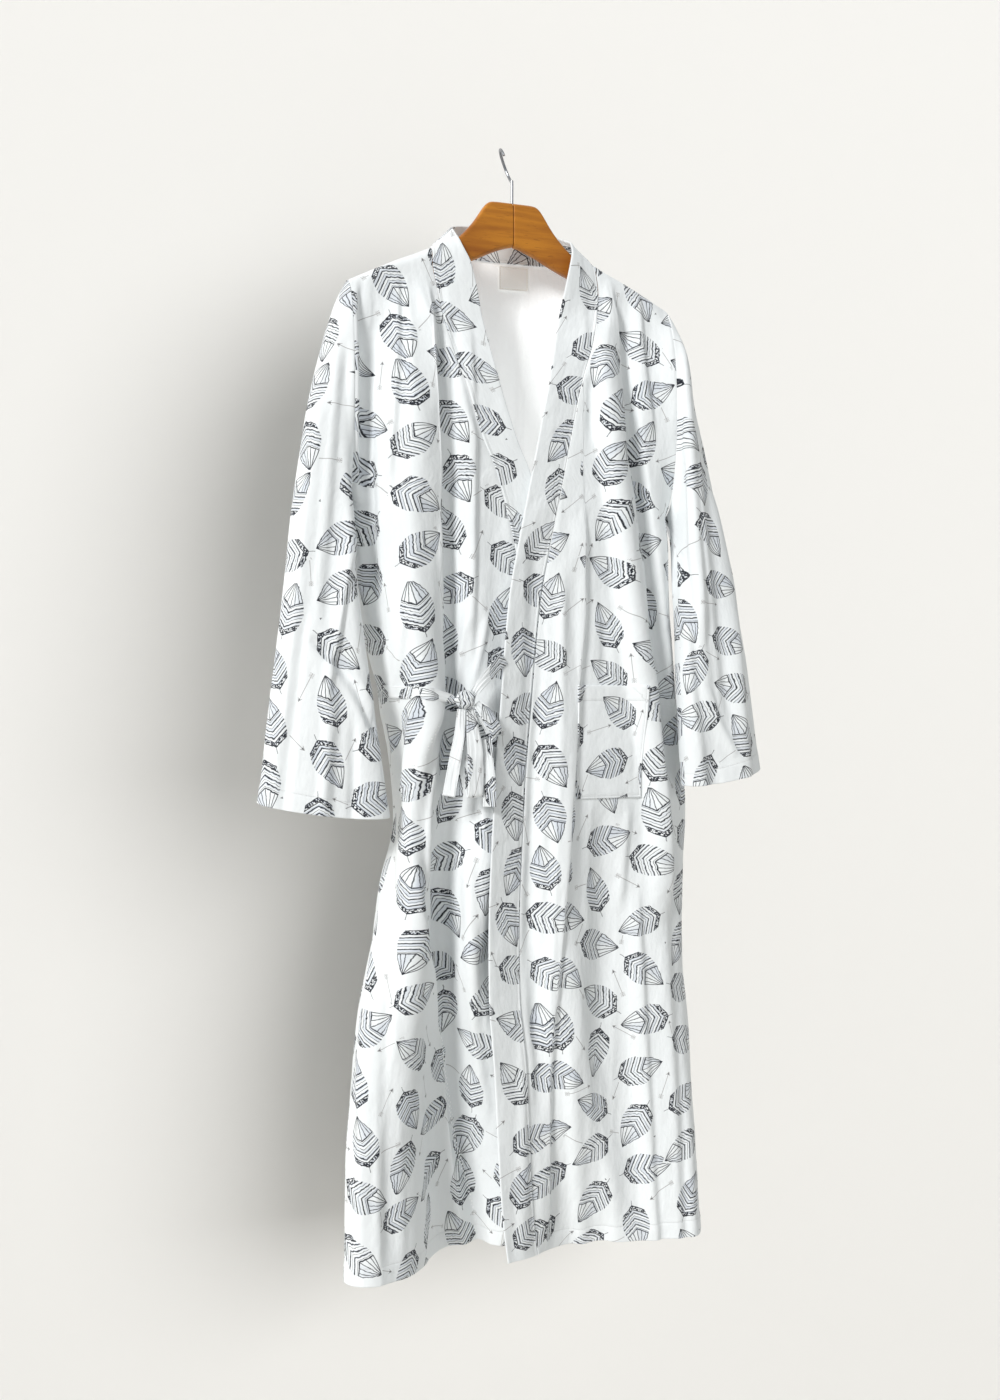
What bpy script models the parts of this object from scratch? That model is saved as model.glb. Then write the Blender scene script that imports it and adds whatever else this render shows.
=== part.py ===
"""Long wrap robe of white cotton hanging on a wooden hanger.

Metres, +Z up, X to the viewer's right, the garment's front faces -Y.
The origin is the inner top of the hanger's hook, where a rail carries it.
Left and right in names are the wearer's, so "right" is at negative X.
Lengths in the tables are taken from the hanger's centre line; every piece
is moved by SEAT at the end so that the hook's seat lands on the origin.
"""

import math

import bpy
import numpy as np

COLLECTION = "kimono_robe"

# Cloth and seams
WALL = 0.0016            # single cloth wall
BAND_WALL = 0.0030       # doubled neck band
GAP = 0.0003             # between sewn pieces
HEM_Z = -1.3255          # level of the hem

# Shoulder and armhole
NECK_X = 0.105           # shoulder seam meets the neck band here
TIP_X = 0.205            # armhole seam, just past the hanger tip
SHOULDER = [  # x, z of the shoulder line
    (0.000, -0.110), (0.083, -0.117), (0.105, -0.1262), (0.125, -0.1355),
    (0.145, -0.1440), (0.177, -0.1595), (0.205, -0.1735),
]
ARM_TOP, ARM_LOW = -0.1735, -0.430
RIDGE_R = 0.0115         # the cloth's turn over the hanger's arms
ARM_DEPTH = 0.036        # half the armhole's front to back opening
CORNER = 0.034           # rounding of the body at the side seams
CORNER_SHARE = 0.17      # share of a panel's columns on that rounding
FIT_SHARE = 0.15         # share of a front over which it comes round to the armhole's edge
FIT_DROP = 0.02          # depth under the shoulder seam at which it does so fully
NECK_TURNS = (0, 18, 34, 49, 63, 77, 90)   # degrees round the back neck, nape at 90

# Back neck
NAPE_Y, NAPE_Z = 0.045, -0.1220      # band seam at the nape
BAND_TOP_X, BAND_TOP_Y = 0.076, 0.041
BAND_TOP_SIDE, BAND_TOP_NAPE = -0.0990, -0.0815
BAND_LIFT = 0.027        # band edge above its seam at the shoulder
BAND_LIFT_RUN = 0.075
BAND_WIDTH = [  # z, level width of the band
    (-0.12, 0.040), (-0.15, 0.048), (-0.20, 0.050), (-0.25, 0.048), (-0.30, 0.044),
    (-0.45, 0.044), (-1.33, 0.045),
]

# Body sides: z, x right (viewer's left), x left, y of the right seam, y of the left seam
SIDES = [
    (-0.17, -0.2050, 0.2050, 0.002, 0.002), (-0.43, -0.2050, 0.2050, 0.002, 0.002),
    (-0.50, -0.1980, 0.2070, 0.003, 0.006), (-0.58, -0.1850, 0.2120, 0.004, 0.010),
    (-0.65, -0.1670, 0.2190, 0.003, 0.014), (-0.72, -0.1520, 0.2290, 0.002, 0.018),
    (-0.80, -0.1460, 0.2370, 0.000, 0.022), (-0.89, -0.1665, 0.2340, -0.001, 0.026),
    (-0.99, -0.1850, 0.2380, -0.002, 0.030), (-1.08, -0.1980, 0.2470, -0.003, 0.034),
    (-1.19, -0.2085, 0.2570, -0.004, 0.038), (-1.33, -0.2105, 0.2680, -0.006, 0.040),
]

# Fronts: z, x of free edge, y of free edge, y of the cloth next to the side rounding
OVER = [
    (-0.098, 0.0765, 0.000, -0.008), (-0.118, 0.0715, -0.018, -0.012),
    (-0.144, 0.0650, -0.024, -0.016), (-0.216, 0.0475, -0.036, -0.026),
    (-0.289, 0.0277, -0.046, -0.032), (-0.387, 0.0051, -0.053, -0.036),
    (-0.478, -0.0160, -0.059, -0.038), (-0.541, -0.0280, -0.061, -0.038),
    (-0.657, -0.0392, -0.064, -0.036), (-0.780, -0.0479, -0.063, -0.032),
    (-0.900, -0.0502, -0.055, -0.026), (-1.000, -0.0480, -0.049, -0.022),
    (-1.092, -0.0395, -0.044, -0.018), (-1.204, -0.0300, -0.035, -0.014),
    (-1.279, -0.0210, -0.026, -0.011), (-1.330, -0.0120, -0.020, -0.010),
]
UNDER = [
    (-0.098, -0.0765, 0.000, -0.008), (-0.120, -0.0700, -0.016, -0.012),
    (-0.144, -0.0585, -0.021, -0.018), (-0.216, -0.0438, -0.032, -0.030),
    (-0.281, -0.0313, -0.039, -0.036), (-0.353, -0.0094, -0.043, -0.040),
    (-0.387, 0.0057, -0.043, -0.041), (-0.478, 0.0300, -0.044, -0.043),
    (-0.541, 0.0420, -0.044, -0.045), (-0.657, 0.0550, -0.044, -0.048),
    (-0.780, 0.0600, -0.042, -0.048), (-0.900, 0.0600, -0.030, -0.047),
    (-1.000, 0.0580, -0.010, -0.045), (-1.110, 0.0540, 0.015, -0.041),
    (-1.220, 0.0500, 0.035, -0.037), (-1.330, 0.0460, 0.048, -0.035),
]
# Back: z, y of the middle, y next to the right rounding, y next to the left rounding
BACK = [
    (-0.12, 0.046, 0.008, 0.008), (-0.20, 0.047, 0.022, 0.022), (-0.30, 0.052, 0.034, 0.036),
    (-0.43, 0.060, 0.040, 0.046), (-0.60, 0.070, 0.042, 0.052), (-0.80, 0.084, 0.045, 0.062),
    (-1.00, 0.100, 0.050, 0.078), (-1.20, 0.116, 0.056, 0.092), (-1.33, 0.124, 0.058, 0.100),
]

# Folds: share across the piece (0 at the side seam), half-width in the same share,
# and how far the cloth comes forward of its plain section, at a row of heights.
UNDER_FOLDS = {
    "shoulder_ridge": [
        (-0.16, 0.46, 0.17, 0.000), (-0.25, 0.38, 0.15, 0.010), (-0.36, 0.31, 0.15, 0.014),
        (-0.50, 0.24, 0.13, 0.017), (-0.65, 0.16, 0.13, 0.018), (-0.80, 0.12, 0.13, 0.010),
        (-0.95, 0.10, 0.13, 0.000),
    ],
    "armhole_valley": [
        (-0.20, 0.14, 0.12, 0.000), (-0.34, 0.10, 0.12, -0.012), (-0.48, 0.07, 0.11, -0.010),
        (-0.60, 0.05, 0.10, 0.000),
    ],
    "middle_valley": [
        (-0.24, 0.56, 0.10, 0.000), (-0.50, 0.44, 0.13, -0.010), (-0.66, 0.35, 0.14, -0.017),
        (-0.80, 0.31, 0.14, -0.020), (-0.95, 0.34, 0.17, -0.032), (-1.11, 0.48, 0.25, -0.046),
        (-1.33, 0.62, 0.34, -0.056),
    ],
    "inner_ridge": [
        (-0.28, 0.74, 0.10, 0.000), (-0.50, 0.60, 0.11, 0.004), (-0.80, 0.50, 0.11, 0.006),
        (-0.95, 0.50, 0.10, 0.010), (-1.10, 0.74, 0.13, 0.006), (-1.33, 0.88, 0.12, 0.010),
    ],
}
OVER_FOLDS = {
    "long_ridge": [
        (-0.16, 0.68, 0.12, 0.000), (-0.22, 0.64, 0.12, 0.007), (-0.36, 0.49, 0.11, 0.011),
        (-0.50, 0.37, 0.10, 0.012), (-0.66, 0.29, 0.10, 0.012), (-0.78, 0.25, 0.10, 0.010),
        (-0.95, 0.24, 0.11, 0.004), (-1.10, 0.24, 0.12, 0.000),
    ],
    "long_valley": [
        (-0.16, 0.46, 0.12, 0.000), (-0.22, 0.44, 0.12, -0.006), (-0.36, 0.32, 0.11, -0.012),
        (-0.50, 0.23, 0.10, -0.012), (-0.66, 0.15, 0.09, -0.011), (-0.78, 0.11, 0.09, -0.008),
        (-0.90, 0.10, 0.09, 0.000),
    ],
    "edge_hollow": [
        (-0.40, 0.84, 0.08, 0.000), (-0.54, 0.85, 0.10, -0.006), (-0.80, 0.85, 0.11, -0.008),
        (-1.00, 0.82, 0.12, -0.010), (-1.15, 0.76, 0.18, -0.012), (-1.33, 0.68, 0.30, -0.034),
    ],
    "front_ridge": [
        (-0.44, 0.70, 0.08, 0.000), (-0.60, 0.71, 0.08, 0.006), (-0.85, 0.68, 0.09, 0.006),
        (-1.05, 0.62, 0.10, 0.005), (-1.25, 0.50, 0.10, 0.000),
    ],
    "skirt_hollow": [
        (-0.82, 0.42, 0.13, 0.000), (-0.95, 0.44, 0.14, -0.010), (-1.15, 0.44, 0.15, -0.012),
        (-1.33, 0.40, 0.16, -0.008),
    ],
    "skirt_ridge": [
        (-0.90, 0.18, 0.11, 0.000), (-1.05, 0.20, 0.12, 0.008), (-1.20, 0.19, 0.13, 0.010),
        (-1.33, 0.18, 0.13, 0.010),
    ],
}
BACK_FOLDS = {
    "right_outer": [(-0.30, 0.17, 0.07, 0.000), (-0.70, 0.16, 0.08, 0.012), (-1.33, 0.15, 0.09, 0.020)],
    "right_valley": [(-0.26, 0.30, 0.08, 0.000), (-0.70, 0.28, 0.08, -0.010), (-1.33, 0.28, 0.08, -0.018)],
    "right_inner": [(-0.24, 0.40, 0.08, 0.000), (-0.60, 0.40, 0.08, 0.008), (-1.33, 0.40, 0.09, 0.018)],
    "centre": [(-0.30, 0.53, 0.08, 0.000), (-0.75, 0.52, 0.08, -0.010), (-1.33, 0.52, 0.07, -0.016)],
    "left_inner": [(-0.22, 0.63, 0.08, 0.000), (-0.65, 0.64, 0.07, 0.010), (-1.33, 0.64, 0.09, 0.020)],
    "left_valley": [(-0.40, 0.75, 0.07, 0.000), (-0.80, 0.75, 0.07, -0.008), (-1.33, 0.76, 0.07, -0.016)],
    "left_outer": [(-0.34, 0.85, 0.07, 0.000), (-0.90, 0.86, 0.08, 0.010), (-1.33, 0.86, 0.08, 0.016)],
}

# Sleeves: share down the tube, outer fold x y z, underarm line x y z, half thickness
RIGHT_SLEEVE = [
    (0.00, -0.2053, 0.002, -0.1735, -0.2053, 0.002, -0.430, 0.0360),
    (0.06, -0.2160, 0.001, -0.1960, -0.2078, -0.006, -0.447, 0.0340),
    (0.16, -0.2375, -0.004, -0.2570, -0.2085, -0.022, -0.474, 0.0300),
    (0.34, -0.2635, -0.010, -0.3730, -0.2030, -0.036, -0.538, 0.0270),
    (0.56, -0.2820, -0.016, -0.5100, -0.1930, -0.044, -0.622, 0.0250),
    (0.80, -0.3010, -0.020, -0.6650, -0.1810, -0.050, -0.712, 0.0230),
    (1.00, -0.3155, -0.022, -0.7720, -0.1700, -0.050, -0.790, 0.0220),
]
LEFT_SLEEVE = [
    (0.00, 0.2053, 0.002, -0.1735, 0.2053, 0.002, -0.430, 0.0360),
    (0.06, 0.2135, 0.000, -0.1880, 0.2098, -0.008, -0.447, 0.0350),
    (0.16, 0.2240, -0.004, -0.2380, 0.2080, -0.027, -0.474, 0.0330),
    (0.34, 0.2560, -0.010, -0.3600, 0.2010, -0.045, -0.535, 0.0320),
    (0.56, 0.2800, -0.015, -0.4950, 0.1980, -0.054, -0.612, 0.0320),
    (0.80, 0.3080, -0.019, -0.6380, 0.2000, -0.056, -0.693, 0.0310),
    (1.00, 0.3235, -0.020, -0.7420, 0.2060, -0.052, -0.762, 0.0300),
]
CUFF_SAG = 0.008

# Patch pocket on the over front
POCKET_TOP, POCKET_LOW = -0.640, -0.775
POCKET_X = (0.060, 0.152)
ON_CLOTH = 0.0015        # lift of what lies on a folded panel

# Ties and bow
TIE_HALF = 0.010
TIE_LIFT = 0.0007        # lift of the side tie off the front
KNOT = (-0.0865, -0.0735, -0.6570)
KNOT_SIZE = (0.0125, 0.0070, 0.0110)

# Label inside the back neck
LABEL_X, LABEL_Z = (0.000, 0.038), (-0.1255, -0.1550)
LABEL_WALL = 0.0007

# Hanger
WOOD_HALF = 0.0062       # half thickness of the wood
WOOD_TIP = 0.1965
WOOD = [  # x, upper edge, lower edge
    (0.0002, -0.0625, -0.1150), (0.0200, -0.0625, -0.1210), (0.0320, -0.0635, -0.1265),
    (0.0400, -0.0740, -0.1305), (0.0500, -0.0905, -0.1355), (0.0670, -0.1085, -0.1430),
    (0.0780, -0.1180, -0.1475), (0.0950, -0.1285, -0.1540), (0.1060, -0.1325, -0.1580),
    (0.1200, -0.1360, -0.1630), (0.1450, -0.1466, -0.1710), (0.1770, -0.1621, -0.1830),
    (0.1965, -0.1721, -0.1905),
]
WIRE = 0.00175
STEM_TOP = -0.0350
STEM_LOW = -0.0622
HOOK_LEAN = math.radians(21.3)
HOOK_R = 0.01966         # centre line of the wire's curl
VIEW_TURN = math.radians(22.0)
SEAT = (
    -(2.0 * HOOK_R - WIRE) * math.sin(HOOK_LEAN) * math.cos(VIEW_TURN),
    (2.0 * HOOK_R - WIRE) * math.sin(HOOK_LEAN) * math.sin(VIEW_TURN),
    0.0,
)

PRINT_WHITE = (0.86, 0.87, 0.88, 1.0)
WOOD_BROWN = (0.46, 0.22, 0.06, 1.0)
STEEL_GREY = (0.42, 0.43, 0.45, 1.0)
LABEL_WHITE = (0.90, 0.89, 0.86, 1.0)


def smooth(knots, values, at):
    """Smooth curve through table values, flat past its ends."""
    order = np.argsort(knots)
    k = np.asarray(knots, float)[order]
    v = np.asarray(values, float)[order]
    at = np.clip(np.asarray(at, float), k[0], k[-1])
    step = np.diff(k)
    slope = np.diff(v) / step
    tangent = np.empty_like(v)
    tangent[0], tangent[-1] = slope[0], slope[-1]
    same = slope[1:] * slope[:-1] > 0
    mean = 2.0 * slope[1:] * slope[:-1] / np.where(same, slope[1:] + slope[:-1], 1.0)
    tangent[1:-1] = np.where(same, mean, 0.0)
    i = np.clip(np.searchsorted(k, at, side="right") - 1, 0, len(k) - 2)
    h = step[i]
    f = (at - k[i]) / h
    return (
        v[i] * (1 + 2 * f) * (1 - f) ** 2
        + h * tangent[i] * f * (1 - f) ** 2
        + v[i + 1] * f * f * (3 - 2 * f)
        - h * tangent[i + 1] * f * f * (1 - f)
    )


def column(table, index, at):
    """One named column of a table against its first column."""
    return smooth([row[0] for row in table], [row[index] for row in table], at)


def ease(x):
    x = np.clip(x, 0.0, 1.0)
    return x * x * (3.0 - 2.0 * x)


def round_in(x):
    """Quarter-round rise from 0 to 1."""
    x = np.clip(x, 0.0, 1.0)
    return np.sqrt(np.maximum(0.0, 1.0 - (1.0 - x) ** 2))


def shoulder(x):
    return smooth([row[0] for row in SHOULDER], [row[1] for row in SHOULDER], abs(x))


def fold_sum(folds, share, z):
    """Sum of the soft ridges and valleys at a share across and a height."""
    total = 0.0
    for rows in folds.values():
        middle = column(rows, 1, z)
        half = column(rows, 2, z)
        depth = column(rows, 3, z)
        near = np.clip(np.abs(share - middle) / half, 0.0, 1.0)
        total = total + depth * np.cos(0.5 * math.pi * near) ** 2
    return total


def armhole(z):
    """Share of the armhole's depth left at a height, 0 at its top and underarm."""
    middle, half = 0.5 * (ARM_TOP + ARM_LOW), 0.5 * (ARM_TOP - ARM_LOW)
    across = np.clip((z - middle) / half, -1.0, 1.0)
    return math.sqrt(max(0.0, 1.0 - across * across))


def side_line(z, side, facing):
    """x and y of a panel's outer edge; side -1 right, +1 left; facing -1 front, +1 back."""
    x = float(column(SIDES, 1 if side < 0 else 2, z))
    y = float(column(SIDES, 3 if side < 0 else 4, z)) + facing * ARM_DEPTH * armhole(z)
    return x, y + facing * 0.5 * GAP


def front_point(table, folds, side, share, z, depth_below):
    """Point of a front's outer face; share 0 at the side seam, 1 at the free edge."""
    side_x, side_y = side_line(z, side, -1)
    edge_x = float(column(table, 1, z))
    edge_y = float(column(table, 2, z))
    near_y = float(column(table, 3, z))
    corner_x = side_x - side * CORNER
    rounding = float(ease((ARM_LOW + 0.05 - z) / 0.09))
    if share < CORNER_SHARE:
        f = share / CORNER_SHARE
        turn = 0.5 * math.pi * f
        go_x = (1 - rounding) * f + rounding * (1 - math.cos(turn))
        go_y = (1 - rounding) * float(ease(f)) + rounding * math.sin(turn)
        x = side_x + (corner_x - side_x) * go_x
        y = side_y + (near_y - side_y) * go_y
    else:
        f = (share - CORNER_SHARE) / (1 - CORNER_SHARE)
        x = corner_x + (edge_x - corner_x) * f
        y = near_y + (edge_y - near_y) * f
    full = -y
    rise = RIDGE_R * float(round_in(depth_below / RIDGE_R))
    settle = float(ease(depth_below / 0.17))
    y = -(rise + (full - RIDGE_R) * settle)
    y -= (full + y) * float(ease(1.0 - share / FIT_SHARE) * ease(depth_below / FIT_DROP))
    inward = float(ease(share / 0.10)) if share < 0.10 else 1.0
    y -= float(fold_sum(folds, share, z)) * inward
    return x, y - 0.5 * GAP * (1.0 - settle)


def seam_share(table, side, z):
    """Share at which the neck band is sewn on."""
    side_x, _ = side_line(z, side, -1)
    corner_x = side_x - side * CORNER
    edge_x = float(column(table, 1, z))
    width = float(column(BAND_WIDTH, 1, z))
    flat = 1.0 - width / abs(edge_x - corner_x)
    return CORNER_SHARE + (1 - CORNER_SHARE) * flat


def front_surface(side, across, down):
    """Front panel point; across 0 at the side seam, 1 at the band seam; down 0 to 1."""
    table, folds = (UNDER, UNDER_FOLDS) if side < 0 else (OVER, OVER_FOLDS)
    top_x = side * (TIP_X + (NECK_X - TIP_X) * top_share(across))
    top_z = float(shoulder(top_x))
    z = top_z + (HEM_Z - top_z) * down
    blend = float(ease((top_z - z) / 0.05))
    share = across * seam_share(table, side, min(z, -0.14))
    x, y = front_point(table, folds, side, share, z, top_z - z)
    x = top_x + (x - top_x) * blend
    return np.array([x, y, z])


def top_share(across):
    """Share along the shoulder seam for a share across the panel."""
    return float(smooth([0.0, 0.2, 1.0], [0.0, 0.24, 1.0], across))


def back_columns():
    """Shares across the back, closer together beside the neck."""
    neck = [math.cos(math.radians(a)) * NECK_X / TIP_X for a in NECK_TURNS]
    outer = [1.0, 0.96, 0.91, 0.85, 0.77, 0.68, 0.59]
    half = outer + neck
    return [0.5 - 0.5 * h for h in half] + [0.5 + 0.5 * h for h in reversed(half[:-1])]


def back_surface(across, down):
    """Back panel point; across 0 at the right side seam, 1 at the left."""
    top_x = TIP_X * (2.0 * across - 1.0)
    if abs(top_x) < NECK_X:
        lean = math.sqrt(max(0.0, 1.0 - (top_x / NECK_X) ** 2))
        top_z = float(shoulder(NECK_X)) + (NAPE_Z - float(shoulder(NECK_X))) * lean
        top_y = NAPE_Y * lean
    else:
        lean, top_z, top_y = 0.0, float(shoulder(top_x)), 0.0
    z = top_z + (HEM_Z - top_z) * down
    below = top_z - z
    side = -1 if across < 0.5 else 1
    side_x, side_y = side_line(z, side, 1)
    other_x, _ = side_line(z, -side, 1)
    reach = 0.5 - abs(across - 0.5)
    corner_share = 0.5 * CORNER_SHARE
    near_y = float(column(BACK, 2 if side < 0 else 3, z))
    mid_y = float(column(BACK, 1, z))
    rounding = float(ease((ARM_LOW + 0.05 - z) / 0.09))
    corner_x = side_x - side * CORNER
    if reach < corner_share:
        f = reach / corner_share
        turn = 0.5 * math.pi * f
        round_x = rounding if side > 0 else 0.0
        go_x = (1 - round_x) * f + round_x * (1 - math.cos(turn))
        go_y = (1 - rounding) * float(ease(f)) + rounding * math.sin(turn)
        x = side_x + (corner_x - side_x) * go_x
        full = side_y + (near_y - side_y) * go_y
    else:
        f = (reach - corner_share) / (0.5 - corner_share)
        middle_x = 0.5 * (side_x + other_x)
        x = corner_x + (middle_x - corner_x) * f
        full = near_y + (mid_y - near_y) * math.sin(0.5 * math.pi * f) ** 1.4
    x = top_x + (x - top_x) * float(ease(below / 0.12))
    settle = float(ease(below / 0.15))
    rise = RIDGE_R * float(round_in(below / RIDGE_R)) * (1.0 - lean)
    y = top_y + rise + (full - top_y - rise) * settle
    y += (full - y) * float(ease(1.0 - 2.0 * reach / FIT_SHARE) * ease(below / FIT_DROP))
    inward = float(ease(reach / 0.05))
    y += float(fold_sum(BACK_FOLDS, across, z)) * inward
    return np.array([x, y + 0.5 * GAP * (1.0 - settle), z])


def grid_normals(points, wrap):
    """Unit normals of a grid of points."""
    along = np.gradient(points, axis=0)
    if wrap:
        across = np.roll(points, -1, axis=1) - np.roll(points, 1, axis=1)
    else:
        across = np.gradient(points, axis=1)
    normal = np.cross(along, across)
    return normal / np.maximum(np.linalg.norm(normal, axis=2, keepdims=True), 1e-12)


def flatten(normals, rows, cols, axis, spare):
    """Keep the wall's end face square to an axis along one border of a grid."""
    part = normals[rows, cols].copy()
    part[..., axis] = 0.0
    length = np.linalg.norm(part, axis=-1, keepdims=True)
    weak = length[..., 0] < 0.35
    part = part / np.maximum(length, 1e-9)
    part[weak] = spare
    normals[rows, cols] = part


def material(name, colour, rough, metal=0.0):
    found = bpy.data.materials.get(name)
    if found:
        return found
    made = bpy.data.materials.new(name)
    made.use_nodes = True
    shader = made.node_tree.nodes["Principled BSDF"]
    shader.inputs["Base Color"].default_value = colour
    shader.inputs["Roughness"].default_value = rough
    shader.inputs["Metallic"].default_value = metal
    made.diffuse_color = colour
    return made


def add_object(name, verts, faces, look, soft=True):
    """Add one closed mesh to the robe's collection, facing out, moved to the hook's seat."""
    volume = 0.0
    for face in faces:
        p = [np.asarray(verts[i], float) for i in face]
        for k in range(1, len(p) - 1):
            volume += float(np.dot(p[0], np.cross(p[k], p[k + 1])))
    if volume < 0:
        faces = [tuple(reversed(face)) for face in faces]
    mesh = bpy.data.meshes.new(name)
    moved = [tuple(np.asarray(v, float) - np.array(SEAT)) for v in verts]
    mesh.from_pydata(moved, [], faces)
    mesh.validate()
    mesh.update()
    mesh.materials.append(look)
    for face in mesh.polygons:
        face.use_smooth = soft
    made = bpy.data.objects.new(name, mesh)
    bpy.data.collections[COLLECTION].objects.link(made)
    return made


def wall(name, points, normals, thickness, look, wrap=False):
    """Close a grid of outer points into a thin wall of even thickness."""
    rows, cols = points.shape[:2]
    inner = points - normals * thickness
    verts = list(points.reshape(-1, 3)) + list(inner.reshape(-1, 3))
    offset = rows * cols
    faces = []
    last = cols if wrap else cols - 1
    for r in range(rows - 1):
        for c in range(last):
            n = (c + 1) % cols
            a, b, d, e = r * cols + c, r * cols + n, (r + 1) * cols + n, (r + 1) * cols + c
            faces.append((a, e, d, b))
            faces.append((offset + a, offset + b, offset + d, offset + e))
    for c in range(last):
        n = (c + 1) % cols
        low = (rows - 1) * cols
        faces.append((c, n, offset + n, offset + c))
        faces.append((low + n, low + c, offset + low + c, offset + low + n))
    if not wrap:
        for r in range(rows - 1):
            a, b = r * cols, (r + 1) * cols
            faces.append((b, a, offset + a, offset + b))
            a, b = a + cols - 1, b + cols - 1
            faces.append((a, b, offset + b, offset + a))
    return add_object(name, verts, faces, look)


def outward(normals, points, centre_y):
    """Turn a panel's normals away from the inside of the garment."""
    middle = points.shape[0] // 2, points.shape[1] // 2
    sign = np.sign(normals[middle][1] * (points[middle][1] - centre_y))
    return normals * (sign if sign else 1.0)


def row_shares():
    """Shares down a body panel, close together over the shoulder."""
    top = [0.0, 0.0016, 0.0042, 0.0078, 0.0125, 0.022, 0.036, 0.055, 0.078, 0.105]
    rest = np.linspace(0.135, 1.0, 23)
    return top + [float(x) for x in rest]


def side_border(normals, points, col, side):
    """Square off a panel's outer border: to X at the armhole, to Y at the side seam."""
    for r in range(points.shape[0]):
        z = points[r, col, 2]
        facing = np.sign(normals[r, col, 1]) or -1.0
        if z > ARM_LOW + 0.012:
            flatten(normals, r, slice(col, col + 1), 0, (0.0, facing, 0.0))
        else:
            normals[r, col] = (float(side), 0.0, 0.0)


def neck_normal(x):
    """Direction square to the cloth at the neck seam."""
    a = math.asin(max(-1.0, min(1.0, x / NECK_X)))
    n = np.array([math.sin(a), math.cos(a), 0.9])
    return n / np.linalg.norm(n)


def build_fronts(look):
    seam_normals = {}
    for side, name in ((-1, "front_right"), (1, "front_left")):
        cols = np.concatenate([np.linspace(0.0, 0.2, 5)[:-1], np.linspace(0.2, 1.0, 14)])
        pts = np.array([[front_surface(side, a, d) for a in cols] for d in row_shares()])
        normals = outward(grid_normals(pts, False), pts, 0.0)
        flatten(normals, 0, slice(None), 1, (0.0, 0.0, 1.0))
        side_border(normals, pts, 0, side)
        normals[0, -1] = neck_normal(side * NECK_X)
        seam_normals[side] = normals[:, -1].copy()
        wall(name, pts, normals, WALL, look)
    return seam_normals


def build_back(look):
    pts = np.array([[back_surface(a, d) for a in back_columns()] for d in row_shares()])
    normals = outward(grid_normals(pts, False), pts, 0.0)
    cols = back_columns()
    for c, across in enumerate(cols):
        if abs(TIP_X * (2 * across - 1)) >= NECK_X - 1e-6:
            flatten(normals, 0, slice(c, c + 1), 1, (0.0, 0.0, 1.0))
        if abs(TIP_X * (2 * across - 1)) <= NECK_X + 1e-6:
            normals[0, c] = neck_normal(TIP_X * (2 * across - 1))
    side_border(normals, pts, 0, -1)
    side_border(normals, pts, len(cols) - 1, 1)
    wall("back_panel", pts, normals, WALL, look)


def sleeve_point(table, share, turn):
    """Outer point of a sleeve; turn 0 at the outer fold, quarter turn at the front."""
    top = np.array([float(column(table, i, share)) for i in (1, 2, 3)])
    low = np.array([float(column(table, i, share)) for i in (4, 5, 6)])
    half = float(column(table, 7, share))
    centre, reach = 0.5 * (top + low), 0.5 * (top - low)
    side = 1.0 if table is LEFT_SLEEVE else -1.0
    front = np.cross(reach, (side, 0.0, -share * 1.6))
    front = front * (-1.0 if front[1] > 0 else 1.0)
    front = front / np.linalg.norm(front)
    if share == 0.0:
        front = np.array([0.0, -1.0, 0.0])
    c, s = math.cos(turn), math.sin(turn)
    body = abs(s) ** 0.9 * (1 if s >= 0 else -1)
    crease = 1.0 - 0.30 * share * math.exp(-((turn - 1.9) / 0.32) ** 2)
    crease -= 0.34 * min(1.0, 3 * share) * math.exp(-((turn - 4.3) / 0.40) ** 2)
    point = centre + reach * c + front * body * half * crease
    point[2] -= CUFF_SAG * max(0.0, s) * float(ease((share - 0.8) / 0.2))
    return point


def build_sleeves(look):
    turns = np.linspace(0.0, 2.0 * math.pi, 29)[:-1]
    shares = [0.0, 0.025, 0.06, 0.11, 0.17, 0.24, 0.32, 0.41, 0.5, 0.6, 0.7, 0.8, 0.9, 1.0]
    for table, name, side in ((RIGHT_SLEEVE, "sleeve_right", -1), (LEFT_SLEEVE, "sleeve_left", 1)):
        pts = np.array([[sleeve_point(table, s, t) for t in turns] for s in shares])
        normals = grid_normals(pts, True)
        middle = pts[6].mean(axis=0)
        if np.dot(normals[6, 7], pts[6, 7] - middle) < 0:
            normals = -normals
        flatten(normals, 0, slice(None), 0, (0.0, 0.0, 1.0))
        wall(name, pts, normals, WALL, look, wrap=True)


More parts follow.
